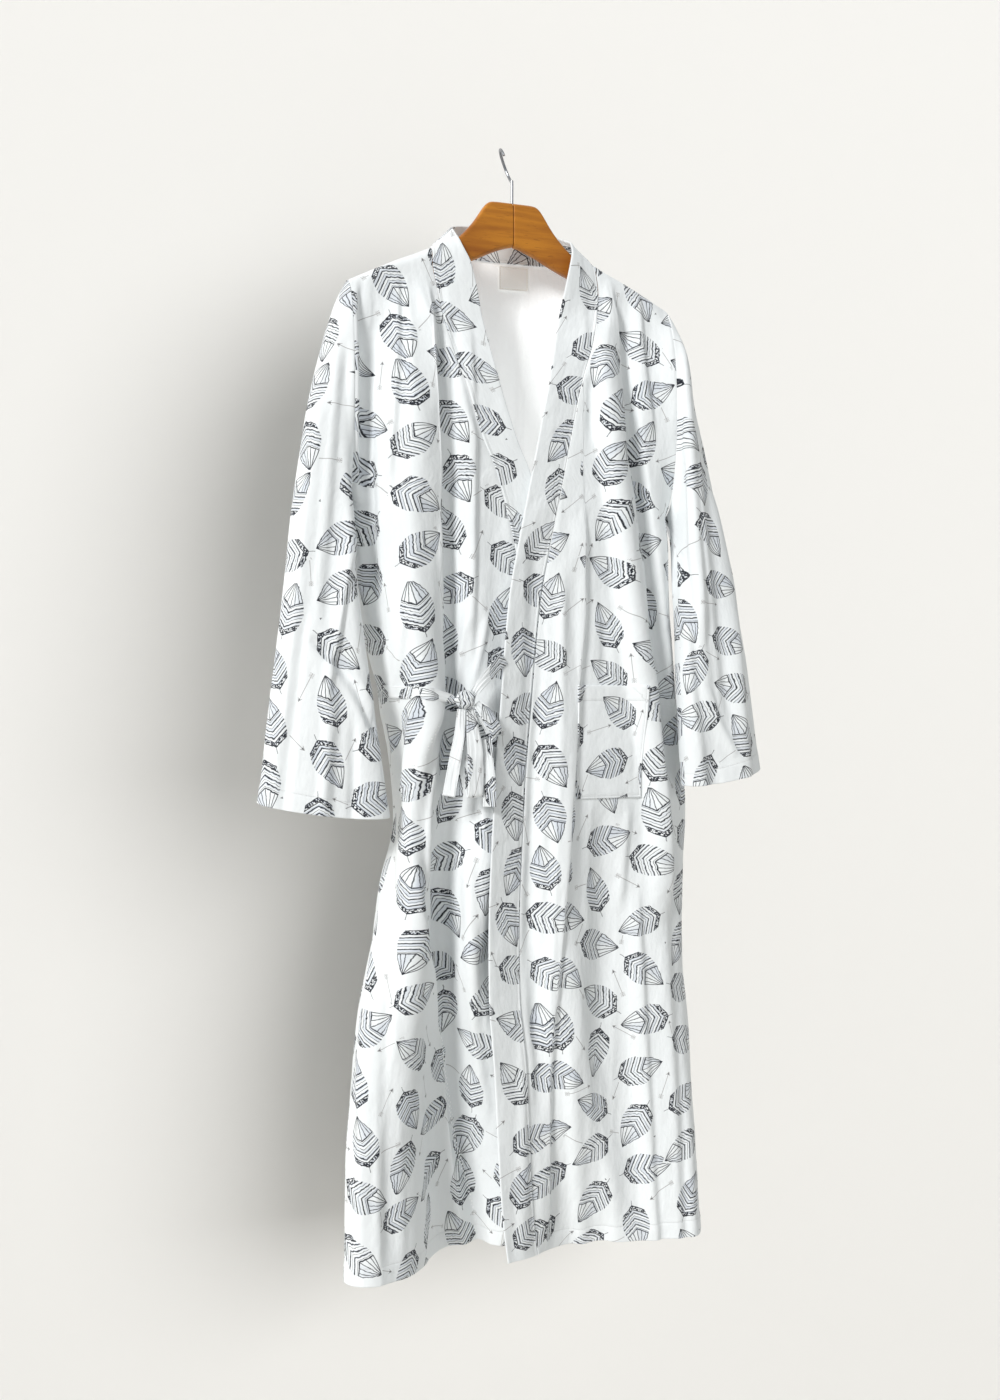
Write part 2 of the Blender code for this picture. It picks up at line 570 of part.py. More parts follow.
def band_rows(seam_normals):
    """Seam line, free edge and seam normals of the neck band, hem to neck to hem."""
    seam, edge, square = [], [], []
    shares = row_shares()
    for side in (-1, 1):
        table, folds = (UNDER, UNDER_FOLDS) if side < 0 else (OVER, OVER_FOLDS)
        line = []
        for row, down in enumerate(shares):
            if row == 0:
                continue
            s = front_surface(side, 1.0, down)
            below = float(shoulder(NECK_X)) - s[2]
            lift = BAND_LIFT * (1.0 - float(ease(below / BAND_LIFT_RUN)))
            z = s[2] + lift
            x = float(column(table, 1, z))
            y = float(column(table, 2, z))
            settle = float(ease(below / 0.10))
            _, plain = front_point(table, folds, side, 1.0, s[2], below)
            line.append((s, np.array([x, y + (plain - y) * settle, z]), seam_normals[side][row]))
        if side < 0:
            line.reverse()
        else:
            neck = []
            turns = [a - 90 for a in NECK_TURNS] + [90 - a for a in reversed(NECK_TURNS[:-1])]
            for deg in turns:
                a = math.radians(deg)
                s = np.array([NECK_X * math.sin(a), NAPE_Y * math.cos(a),
                              float(shoulder(NECK_X)) * (1 - math.cos(a)) + NAPE_Z * math.cos(a)])
                e = np.array([BAND_TOP_X * math.sin(a), BAND_TOP_Y * math.cos(a),
                              BAND_TOP_SIDE + (BAND_TOP_NAPE - BAND_TOP_SIDE) * math.cos(a)])
                neck.append((s, e, neck_normal(NECK_X * math.sin(a))))
            line = neck + line
        for s, e, n in line:
            seam.append(s)
            edge.append(e)
            square.append(n)
    return np.array(seam), np.array(edge), np.array(square)


def build_band(look, seam_normals):
    seam, edge, square = band_rows(seam_normals)
    reach = edge - seam
    reach -= square * np.sum(reach * square, axis=1, keepdims=True)
    start = seam + GAP * 3.0 * reach / np.linalg.norm(reach, axis=1, keepdims=True)
    pts = np.array([[start[i] + (edge[i] - start[i]) * f for f in (0.0, 0.34, 0.68, 1.0)]
                    for i in range(len(seam))])
    normals = grid_normals(pts, False)
    middle = len(seam) // 2
    if normals[middle, 1, 1] < 0:
        normals = -normals
    normals[:, 0] = square
    wall("neck_band", pts, normals, BAND_WALL, look)


def front_frame(side, share, z):
    """Point and outward normal on a front, well below the shoulder."""
    table, folds = (UNDER, UNDER_FOLDS) if side < 0 else (OVER, OVER_FOLDS)
    step, drop = 0.012, 0.004
    p = np.array([*front_point(table, folds, side, share, z, 0.5), z])
    q = np.array([*front_point(table, folds, side, share + step, z, 0.5), z])
    r = np.array([*front_point(table, folds, side, share, z - drop, 0.5), z - drop])
    n = np.cross(q - p, r - p)
    n /= np.linalg.norm(n)
    return p, n * (-1.0 if n[1] > 0 else 1.0)


def build_pocket(look):
    pts, normals = [], []
    for z in np.linspace(POCKET_TOP, POCKET_LOW, 9):
        row, square = [], []
        for x in np.linspace(POCKET_X[1], POCKET_X[0], 9):
            corner_x = side_line(z, 1, -1)[0] - CORNER
            edge_x = float(column(OVER, 1, z))
            share = CORNER_SHARE + (1 - CORNER_SHARE) * (corner_x - x) / (corner_x - edge_x)
            p, n = front_frame(1, share, z)
            row.append(p + n * (ON_CLOTH + WALL))
            square.append(n)
        pts.append(row)
        normals.append(square)
    wall("pocket_left", np.array(pts), np.array(normals), WALL, look)


def strap(name, path, widths, look, thickness=WALL, across=(0.0, 0.0, 1.0)):
    """Flat strap along a path; widths are half widths at each path point."""
    path = np.array(path, float)
    span = np.linspace(0.0, 1.0, len(path))
    fine = np.linspace(0.0, 1.0, 4 * len(path) - 3)
    line = np.stack([smooth(span, path[:, i], fine) for i in range(3)], axis=1)
    half = smooth(span, widths, fine)
    run = np.gradient(line, axis=0)
    run /= np.linalg.norm(run, axis=1, keepdims=True)
    wide = np.array(across, float) - run * (run @ np.array(across, float))[:, None]
    wide /= np.linalg.norm(wide, axis=1, keepdims=True)
    pts = np.array([[line[i] + wide[i] * half[i] * f for f in (-1.0, -0.33, 0.33, 1.0)]
                    for i in range(len(line))])
    normals = grid_normals(pts, False)
    wall(name, pts, normals, thickness, look)


def build_ties(look):
    kx, ky, kz = KNOT
    pts, normals = [], []
    for f in (-1.0, -0.33, 0.33, 1.0):
        row, square = [], []
        for share in np.linspace(0.04, 0.20, 10):
            z = -0.6460 - 0.004 * share / 0.20 + f * TIE_HALF
            p, n = front_frame(-1, share, z)
            row.append(p + n * (TIE_LIFT + WALL))
            square.append(n)
        end = np.array([kx - 1.07 * KNOT_SIZE[0] + 0.0002, ky + 0.001, kz + 0.75 * f * TIE_HALF])
        for go in (0.2, 0.4, 0.6, 0.8, 1.0):
            row.append(row[9] + (end - row[9]) * go)
            square.append(np.array([0.0, -1.0, 0.0]))
        pts.append(row)
        normals.append(square)
    wall("tie_side", np.array(pts), np.array(normals), WALL, look)
    strap("tie_edge", [
        (-0.0425, -0.0641, -0.6138), (-0.0545, -0.0700, -0.6250), (-0.0690, -0.0738, -0.6400),
        (-0.0763, -0.0735, -0.6496),
    ], [0.0090, 0.0085, 0.0070, 0.0055], look)
    strap("bow_loop", [
        (kx + 0.0128, ky - 0.0005, kz - 0.0040), (-0.0640, -0.0790, -0.6720),
        (-0.0530, -0.0800, -0.6890), (-0.0485, -0.0765, -0.6990), (-0.0530, -0.0725, -0.6960),
        (-0.0610, -0.0705, -0.6820), (-0.0700, -0.0700, -0.6725),
    ], [0.0050, 0.0080, 0.0085, 0.0085, 0.0080, 0.0070, 0.0050], look, across=(0.6, 0.2, 0.75))
    strap("hanging_loop", [
        (kx + 0.0056, ky, kz - 0.0108), (-0.0785, -0.0760, -0.6900), (-0.0755, -0.0770, -0.7250),
        (-0.0745, -0.0745, -0.7640), (-0.0745, -0.0700, -0.7690), (-0.0765, -0.0675, -0.7600),
        (-0.0790, -0.0668, -0.7200),
    ], [0.0045, 0.0075, 0.0095, 0.0090, 0.0088, 0.0085, 0.0070], look, across=(1.0, 0.0, 0.1))
    strap("tail_right", [
        (kx - 0.0056, ky, kz - 0.0108), (-0.0940, -0.0735, -0.6950), (-0.0985, -0.0710, -0.7250),
        (-0.1055, -0.0690, -0.7670),
    ], [0.0045, 0.0060, 0.0070, 0.0075], look, across=(1.0, -0.5, 0.0))
    strap("tail_left", [
        (-0.0600, -0.0725, -0.7024), (-0.0590, -0.0735, -0.7300), (-0.0575, -0.0735, -0.7550),
        (-0.0570, -0.0725, -0.7800),
    ], [0.0055, 0.0065, 0.0075, 0.0075], look, across=(1.0, -0.4, 0.0))
    rings, segs = 9, 16
    verts, faces = [(kx, ky, kz + KNOT_SIZE[2])], []
    for r in range(1, rings):
        a = math.pi * r / rings
        for s in range(segs):
            b = 2 * math.pi * s / segs
            wrap = 1.0 + 0.07 * math.cos(3 * b + 2 * a)
            verts.append((kx + KNOT_SIZE[0] * math.sin(a) * math.cos(b) * wrap,
                          ky + KNOT_SIZE[1] * math.sin(a) * math.sin(b) * wrap,
                          kz + KNOT_SIZE[2] * math.cos(a)))
    verts.append((kx, ky, kz - KNOT_SIZE[2]))
    for s in range(segs):
        n = (s + 1) % segs
        faces.append((0, 1 + s, 1 + n))
        low = 1 + (rings - 2) * segs
        faces.append((low + n, low + s, len(verts) - 1))
        for r in range(rings - 2):
            a, b = 1 + r * segs, 1 + (r + 1) * segs
            faces.append((a + s, b + s, b + n, a + n))
    add_object("bow_knot", verts, faces, look)


def build_label(look):
    xs = np.linspace(LABEL_X[0], LABEL_X[1], 6)
    zs = np.linspace(LABEL_Z[0], LABEL_Z[1], 5)
    rows = []
    for z in zs:
        row = []
        for x in xs:
            across = 0.5 + 0.5 * x / TIP_X
            for _ in range(8):
                top = back_surface(across, 0.0)[2]
                down = (top - z) / (top - HEM_Z)
                p = back_surface(across, down)
                across += 0.5 * (x - p[0]) / TIP_X
            row.append((x, p[1] - WALL - GAP - LABEL_WALL - 0.0004, z))
        rows.append(row)
    pts = np.array(rows)
    normals = grid_normals(pts, False)
    if normals[2, 2, 1] > 0:
        normals = -normals
    wall("neck_label", pts, normals, LABEL_WALL, look)


def build_hanger(wood, steel):
    for side, name in ((-1, "hanger_arm_right"), (1, "hanger_arm_left")):
        xs = np.concatenate([[WOOD[0][0]], np.linspace(0.012, 0.060, 9), np.linspace(0.072, WOOD_TIP, 12)])
        rings = []
        for x in xs:
            top, low = float(column(WOOD, 1, x)), float(column(WOOD, 2, x))
            half = WOOD_HALF * (1.0 - 0.18 * float(ease((x - 0.188) / 0.0085)))
            ring = []
            for k in range(20):
                a = 2 * math.pi * k / 20
                s, c = math.sin(a), math.cos(a)
                y = half * s
                flat = top - WOOD_HALF if c > 0 else low + WOOD_HALF
                z = flat + WOOD_HALF * c
                ring.append((side * x, float(y), z))
            rings.append(ring)
        verts = [p for ring in rings for p in ring]
        faces = []
        n = 20
        for r in range(len(rings) - 1):
            for k in range(n):
                m = (k + 1) % n
                faces.append((r * n + k, r * n + m, (r + 1) * n + m, (r + 1) * n + k))
        faces.append(tuple(reversed(range(n))))
        faces.append(tuple((len(rings) - 1) * n + k for k in range(n)))
        add_object(name, verts, faces, wood)
    right = np.array([math.cos(VIEW_TURN), -math.sin(VIEW_TURN), 0.0])
    away = np.array([math.sin(VIEW_TURN), math.cos(VIEW_TURN), 0.0])
    lean = -right * math.sin(HOOK_LEAN) + np.array([0.0, 0.0, math.cos(HOOK_LEAN)])
    base = np.array([0.0, 0.0, STEM_TOP])
    centre = base + lean * HOOK_R
    path = [np.array([0.0, 0.0, STEM_LOW]), np.array([0.0, 0.0, -0.052]), np.array([0.0, 0.0, -0.043])]
    for deg in range(0, 251, 10):
        a = math.radians(deg)
        out = 1.0 if deg > 20 else (deg / 20.0) ** 0.5
        point = centre - lean * HOOK_R * math.cos(a) + away * HOOK_R * math.sin(a)
        path.append(base + (point - base) * (out if deg else 0.0) if deg <= 20 else point)
    path = np.array(path)
    run = np.gradient(path, axis=0)
    run /= np.linalg.norm(run, axis=1, keepdims=True)
    first = np.cross(run, right)
    first /= np.linalg.norm(first, axis=1, keepdims=True)
    second = np.cross(run, first)
    seg = 10
    verts, faces = [], []
    for i in range(len(path)):
        size = WIRE * (0.8 if i == len(path) - 1 else 1.0)
        for k in range(seg):
            a = 2 * math.pi * k / seg
            verts.append(path[i] + size * (first[i] * math.cos(a) + second[i] * math.sin(a)))
    for i in range(len(path) - 1):
        for k in range(seg):
            m = (k + 1) % seg
            faces.append((i * seg + k, i * seg + m, (i + 1) * seg + m, (i + 1) * seg + k))
    faces.append(tuple(reversed(range(seg))))
    faces.append(tuple((len(path) - 1) * seg + k for k in range(seg)))
    add_object("hanger_hook", verts, faces, steel)


def main():
    for old in list(bpy.data.objects):
        bpy.data.objects.remove(old, do_unlink=True)
    home = bpy.data.collections.new(COLLECTION)
    bpy.context.scene.collection.children.link(home)
    cotton = material("printed_cotton", PRINT_WHITE, 0.85)
    build_back(cotton)
    seam_normals = build_fronts(cotton)
    build_sleeves(cotton)
    build_band(cotton, seam_normals)
    build_pocket(cotton)
    build_ties(cotton)
    build_label(material("label_weave", LABEL_WHITE, 0.8))
    build_hanger(material("oiled_wood", WOOD_BROWN, 0.4), material("steel_wire", STEEL_GREY, 0.3, 1.0))


main()
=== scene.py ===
"""Looks of the long wrap robe of printed white cotton on its wooden hanger.

Metres, +Z up, X to the viewer's right, the garment's front faces -Y. Tables are
taken from the hanger's centre line, as in the part's source, and each finished
piece is moved by SEAT, so that the hook's seat lands on the origin. "right" is
the wearer's right, at negative X. Tables and creases are typed in thousandths: in
millimetres, or in thousandths of a share.
"""
import logging
import math
from dataclasses import dataclass
from enum import Enum
from functools import reduce

import bpy
import numpy as np
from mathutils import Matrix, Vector


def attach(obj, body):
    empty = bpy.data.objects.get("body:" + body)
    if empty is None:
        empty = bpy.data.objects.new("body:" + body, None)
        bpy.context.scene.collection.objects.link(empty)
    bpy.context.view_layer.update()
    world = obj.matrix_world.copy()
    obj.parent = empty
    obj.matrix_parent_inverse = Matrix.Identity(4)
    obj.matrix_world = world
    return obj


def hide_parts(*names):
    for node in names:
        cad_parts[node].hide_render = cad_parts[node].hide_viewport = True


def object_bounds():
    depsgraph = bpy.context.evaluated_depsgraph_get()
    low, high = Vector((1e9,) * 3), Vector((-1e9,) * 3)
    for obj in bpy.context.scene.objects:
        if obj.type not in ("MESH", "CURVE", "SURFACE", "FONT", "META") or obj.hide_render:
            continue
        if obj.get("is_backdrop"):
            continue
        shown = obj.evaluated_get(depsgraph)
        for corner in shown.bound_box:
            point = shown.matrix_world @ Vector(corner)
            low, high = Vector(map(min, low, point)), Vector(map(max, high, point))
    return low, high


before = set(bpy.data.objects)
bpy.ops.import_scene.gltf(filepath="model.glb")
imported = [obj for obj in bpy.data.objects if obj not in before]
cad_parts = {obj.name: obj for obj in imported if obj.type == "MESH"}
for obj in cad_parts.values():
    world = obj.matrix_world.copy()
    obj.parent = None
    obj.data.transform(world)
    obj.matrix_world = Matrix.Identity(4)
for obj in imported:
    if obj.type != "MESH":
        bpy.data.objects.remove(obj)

LOG = logging.getLogger("robe")
Table = tuple[tuple[float, ...], ...]
Colour = tuple[float, float, float, float]
Socket = bpy.types.NodeSocket
Look = bpy.types.Material
Thing = bpy.types.Object
Array = np.ndarray

# Camera of the photograph, and the upright plane through the hanger that faces it
VIEW_TURN = math.radians(22.0)
CAMERA_AWAY = 1.94
CAMERA_DROP = 0.6575
LENS = 41.58
FRAME_SHIFT = -0.00857

# Hook, whose seat is the origin
HOOK_LEAN = math.radians(21.3)
HOOK_R = 0.01966
WIRE = 0.00175
SEAT = np.array([
    -(2.0 * HOOK_R - WIRE) * math.sin(HOOK_LEAN) * math.cos(VIEW_TURN),
    (2.0 * HOOK_R - WIRE) * math.sin(HOOK_LEAN) * math.sin(VIEW_TURN),
    0.0,
])

# Driving sizes of the garment, the same as the part's
GAP = 0.0003
CLOTH = 0.0008
HEM_Z = -1.3255
NECK_X, TIP_X = 0.105, 0.205
ARM_TOP, ARM_LOW = -0.1735, -0.430
ARM_DEPTH, RIDGE_R = 0.036, 0.0115
CORNER, CORNER_SHARE = 0.034, 0.17
FIT_SHARE, FIT_DROP = 0.15, 0.02
NAPE_Y, NAPE_Z = 0.045, -0.1220
BAND_TOP_X, BAND_TOP_Y = 0.076, 0.041
BAND_TOP_SIDE, BAND_TOP_NAPE = -0.0990, -0.0815
BAND_LIFT, BAND_LIFT_RUN, BAND_WALL = 0.027, 0.075, 0.0026
HEM_TURN, CUFF_TURN, HEM_STITCH, HEM_STEP = 0.022, 0.020, 0.001, 0.0007
TIE_WIDE, TIE_WALL, TIE_SEWN = 0.022, 0.0015, 0.0022
CUFF_SAG = 0.008
# How much higher the creases stand than their tables say
CREASE_GAIN = 1.8


def thousandths(*rows: tuple[float, ...]) -> Table:
    """A table typed in millimetres or in thousandths of a share."""
    return tuple(tuple(value / 1000.0 for value in row) for row in rows)


SHOULDER = thousandths(
    (0, -110), (83, -117), (105, -126.2), (125, -135.5), (145, -144), (177, -159.5), (205, -173.5),
)
BAND_WIDTH = thousandths(
    (-120, 40), (-150, 48), (-200, 50), (-250, 48), (-300, 44), (-450, 44), (-1330, 45),
)
# z, x right, x left, y of the right seam, y of the left seam
SIDES = thousandths(
    (-170, -205, 205, 2, 2), (-430, -205, 205, 2, 2), (-500, -198, 207, 3, 6), (-580, -185, 212, 4, 10),
    (-650, -167, 219, 3, 14), (-720, -152, 229, 2, 18), (-800, -146, 237, 0, 22),
    (-890, -166.5, 234, -1, 26), (-990, -185, 238, -2, 30), (-1080, -198, 247, -3, 34),
    (-1190, -208.5, 257, -4, 38), (-1330, -210.5, 268, -6, 40),
)
# z, x of the free edge, y of the free edge, y of the cloth next to the side rounding
OVER = thousandths(
    (-98, 76.5, 0, -8), (-118, 71.5, -18, -12), (-144, 65, -24, -16), (-216, 47.5, -36, -26),
    (-289, 27.7, -46, -32), (-387, 5.1, -53, -36), (-478, -16, -59, -38), (-541, -28, -61, -38),
    (-657, -39.2, -64, -36), (-780, -47.9, -63, -32), (-900, -50.2, -55, -26), (-1000, -48, -49, -22),
    (-1092, -39.5, -44, -18), (-1204, -30, -35, -14), (-1279, -21, -26, -11), (-1330, -12, -20, -10),
)
UNDER = thousandths(
    (-98, -76.5, 0, -8), (-120, -70, -16, -12), (-144, -58.5, -21, -18), (-216, -43.8, -32, -30),
    (-281, -31.3, -39, -36), (-353, -9.4, -43, -40), (-387, 5.7, -43, -41), (-478, 30, -44, -43),
    (-541, 42, -44, -45), (-657, 55, -44, -48), (-780, 60, -42, -48), (-900, 60, -30, -47),
    (-1000, 58, -10, -45), (-1110, 54, 15, -41), (-1220, 50, 35, -37), (-1330, 46, 48, -35),
)
# z, y of the middle, y next to the right rounding, y next to the left rounding
BACK = thousandths(
    (-120, 46, 8, 8), (-200, 47, 22, 22), (-300, 52, 34, 36), (-430, 60, 40, 46), (-600, 70, 42, 52),
    (-800, 84, 45, 62), (-1000, 100, 50, 78), (-1200, 116, 56, 92), (-1330, 124, 58, 100),
)
# The part's own folds: z, share across, half width in that share, depth
UNDER_FOLDS = (
    thousandths((-160, 460, 170, 0), (-250, 380, 150, 10), (-360, 310, 150, 14), (-500, 240, 130, 17),
                (-650, 160, 130, 18), (-800, 120, 130, 10), (-950, 100, 130, 0)),
    thousandths((-200, 140, 120, 0), (-340, 100, 120, -12), (-480, 70, 110, -10), (-600, 50, 100, 0)),
    thousandths((-240, 560, 100, 0), (-500, 440, 130, -10), (-660, 350, 140, -17),
                (-800, 310, 140, -20), (-950, 340, 170, -32), (-1110, 480, 250, -46),
                (-1330, 620, 340, -56)),
    thousandths((-280, 740, 100, 0), (-500, 600, 110, 4), (-800, 500, 110, 6), (-950, 500, 100, 10),
                (-1100, 740, 130, 6), (-1330, 880, 120, 10)),
)
OVER_FOLDS = (
    thousandths((-160, 680, 120, 0), (-220, 640, 120, 7), (-360, 490, 110, 11), (-500, 370, 100, 12),
                (-660, 290, 100, 12), (-780, 250, 100, 10), (-950, 240, 110, 4), (-1100, 240, 120, 0)),
    thousandths((-160, 460, 120, 0), (-220, 440, 120, -6), (-360, 320, 110, -12), (-500, 230, 100, -12),
                (-660, 150, 90, -11), (-780, 110, 90, -8), (-900, 100, 90, 0)),
    thousandths((-400, 840, 80, 0), (-540, 850, 100, -6), (-800, 850, 110, -8), (-1000, 820, 120, -10),
                (-1150, 760, 180, -12), (-1330, 680, 300, -34)),
    thousandths((-440, 700, 80, 0), (-600, 710, 80, 6), (-850, 680, 90, 6), (-1050, 620, 100, 5),
                (-1250, 500, 100, 0)),
    thousandths((-820, 420, 130, 0), (-950, 440, 140, -10), (-1150, 440, 150, -12),
                (-1330, 400, 160, -8)),
    thousandths((-900, 180, 110, 0), (-1050, 200, 120, 8), (-1200, 190, 130, 10),
                (-1330, 180, 130, 10)),
)
BACK_FOLDS = (
    thousandths((-300, 170, 70, 0), (-700, 160, 80, 12), (-1330, 150, 90, 20)),
    thousandths((-260, 300, 80, 0), (-700, 280, 80, -10), (-1330, 280, 80, -18)),
    thousandths((-240, 400, 80, 0), (-600, 400, 80, 8), (-1330, 400, 90, 18)),
    thousandths((-300, 530, 80, 0), (-750, 520, 80, -10), (-1330, 520, 70, -16)),
    thousandths((-220, 630, 80, 0), (-650, 640, 70, 10), (-1330, 640, 90, 20)),
    thousandths((-400, 750, 70, 0), (-800, 750, 70, -8), (-1330, 760, 70, -16)),
    thousandths((-340, 850, 70, 0), (-900, 860, 80, 10), (-1330, 860, 80, 16)),
)
# Share down the tube, outer fold x y z, underarm line x y z, half thickness
RIGHT_SLEEVE = thousandths(
    (0, -205.3, 2, -173.5, -205.3, 2, -430, 36), (60, -216, 1, -196, -207.8, -6, -447, 34),
    (160, -237.5, -4, -257, -208.5, -22, -474, 30), (340, -263.5, -10, -373, -203, -36, -538, 27),
    (560, -282, -16, -510, -193, -44, -622, 25), (800, -301, -20, -665, -181, -50, -712, 23),
    (1000, -315.5, -22, -772, -170, -50, -790, 22),
)
LEFT_SLEEVE = thousandths(
    (0, 205.3, 2, -173.5, 205.3, 2, -430, 36), (60, 213.5, 0, -188, 209.8, -8, -447, 35),
    (160, 224, -4, -238, 208, -27, -474, 33), (340, 256, -10, -360, 201, -45, -535, 32),
    (560, 280, -15, -495, 198, -54, -612, 32), (800, 308, -19, -638, 200, -56, -693, 31),
    (1000, 323.5, -20, -742, 206, -52, -762, 30),
)


class Facing(Enum):
    """Which way a crease's table is seen."""

    FRONT = "front"
    BACK = "back"


class Side(Enum):
    """The wearer's side of the garment, by the sign of X."""

    RIGHT = -1
    LEFT = 1


def smooth(knots: Array, values: Array, at: Array) -> Array:
    """Smooth curve through table values, flat past its ends.

    Args:
        knots: places of the values.
        values: one value for each knot.
        at: places to read, of any shape.

    Returns:
        The values there, in the shape of at.
    """
    order = np.argsort(knots)
    k = np.asarray(knots, float)[order]
    v = np.asarray(values, float)[order]
    at = np.clip(np.asarray(at, float), k[0], k[-1])
    step = np.diff(k)
    slope = np.diff(v) / step
    tangent = np.empty_like(v)
    tangent[0], tangent[-1] = slope[0], slope[-1]
    same = slope[1:] * slope[:-1] > 0
    mean = 2.0 * slope[1:] * slope[:-1] / np.where(same, slope[1:] + slope[:-1], 1.0)
    tangent[1:-1] = np.where(same, mean, 0.0)
    i = np.clip(np.searchsorted(k, at, side="right") - 1, 0, len(k) - 2)
    h = step[i]
    f = (at - k[i]) / h
    return (
        v[i] * (1 + 2 * f) * (1 - f) ** 2
        + h * tangent[i] * f * (1 - f) ** 2
        + v[i + 1] * f * f * (3 - 2 * f)
        - h * tangent[i + 1] * f * f * (1 - f)
    )


def column(table: Table, index: int, at: Array) -> Array:
    """One column of a table against its first column."""
    return smooth([row[0] for row in table], [row[index] for row in table], at)


def ease(x: Array) -> Array:
    """Soft rise from 0 to 1."""
    x = np.clip(x, 0.0, 1.0)
    return x * x * (3.0 - 2.0 * x)


def round_in(x: Array) -> Array:
    """Quarter-round rise from 0 to 1."""
    return np.sqrt(np.maximum(0.0, 1.0 - (1.0 - np.clip(x, 0.0, 1.0)) ** 2))


def bell(x: Array) -> Array:
    """Soft hump, 1 at 0 and nothing past 1 on either side."""
    return np.cos(0.5 * math.pi * np.clip(np.abs(x), 0.0, 1.0)) ** 2


def shoulder(x: Array) -> Array:
    """Height of the shoulder line."""
    return column(SHOULDER, 1, np.abs(x))


def fold_sum(folds: tuple[Table, ...], share: Array, z: Array) -> Array:
    """Sum of the part's own ridges and valleys at a share across and a height."""
    total = np.zeros(np.broadcast(share, z).shape)
    for rows in folds:
        total += column(rows, 3, z) * bell((share - column(rows, 1, z)) / column(rows, 2, z))
    return total


def side_line(z: Array, side: int, facing: int) -> tuple[Array, Array]:
    """Outer edge of a body panel.

    Args:
        z: heights.
        side: -1 right, 1 left.
        facing: -1 front, 1 back.

    Returns:
        x and y of the edge.
    """
    middle, half = 0.5 * (ARM_TOP + ARM_LOW), 0.5 * (ARM_TOP - ARM_LOW)
    open_share = np.sqrt(np.maximum(0.0, 1.0 - np.clip((z - middle) / half, -1.0, 1.0) ** 2))
    x = column(SIDES, 1 if side < 0 else 2, z)
    y = column(SIDES, 3 if side < 0 else 4, z) + facing * ARM_DEPTH * open_share
    return x, y + facing * 0.5 * GAP


def seen(points: Array) -> tuple[Array, Array]:
    """Where points are seen by the camera, on the upright plane through the hanger.

    Args:
        points: places from the hanger's centre line, the last axis x y z.

    Returns:
        Metres across to the right and metres down from the hook's seat.
    """
    c, s = math.cos(VIEW_TURN), math.sin(VIEW_TURN)
    x, y, z = points[..., 0], points[..., 1], points[..., 2]
    share = CAMERA_AWAY / (CAMERA_AWAY + s * x + c * y)
    return (c * x - s * y) * share, CAMERA_DROP - (z + CAMERA_DROP) * share


def ripple(u: Array, v: Array, size: float, seed: float) -> Array:
    """Uneven low waves of about one size, between -1 and 1, the same on every run."""
    total = np.zeros(np.broadcast(u, v).shape)
    for k in range(7):
        turn = seed * 1.7 + k * 2.399
        rate = 2.0 * math.pi / (size * (0.7 + 0.13 * k))
        total += np.sin(rate * (u * math.cos(turn) + 0.6 * v * math.sin(turn)) + seed * (k + 1) * 1.31)
    return total / 4.0


@dataclass(frozen=True)
class Crease:
    """A soft ridge, or a trough where its height is below 0, running down the cloth.

    The path is across and down in metres, on the plane that seen() uses, or on the
    garment's own upright plane for the back.
    """

    left: float
    right: float
    height: float
    path: Table
    fade: float

    def middle(self, down: Array) -> Array:
        """Where the path runs at each height."""
        return column(tuple((low, across) for across, low in self.path), 1, down)

    def relief(self, across: Array, down: Array) -> Array:
        """How far the crease lifts the cloth at each place."""
        middle, step = self.middle(down), 0.004
        off = (across - middle) / np.sqrt(1.0 + ((self.middle(down + step) - middle) / step) ** 2)
        first, last = self.path[0][1], self.path[-1][1]
        ends = ease((down - first) / self.fade + 0.5) * ease((last - down) / self.fade + 0.5)
        return self.height * bell(off / np.where(off < 0.0, self.left, self.right)) * ends


def crease(left: float, right: float, height: float, *path: tuple[float, float],
           fade: float = 60.0) -> Crease:
    """A crease typed in millimetres: its half widths, its height and its path."""
    return Crease(left / 1000.0, right / 1000.0, height / 1000.0, thousandths(*path), fade / 1000.0)


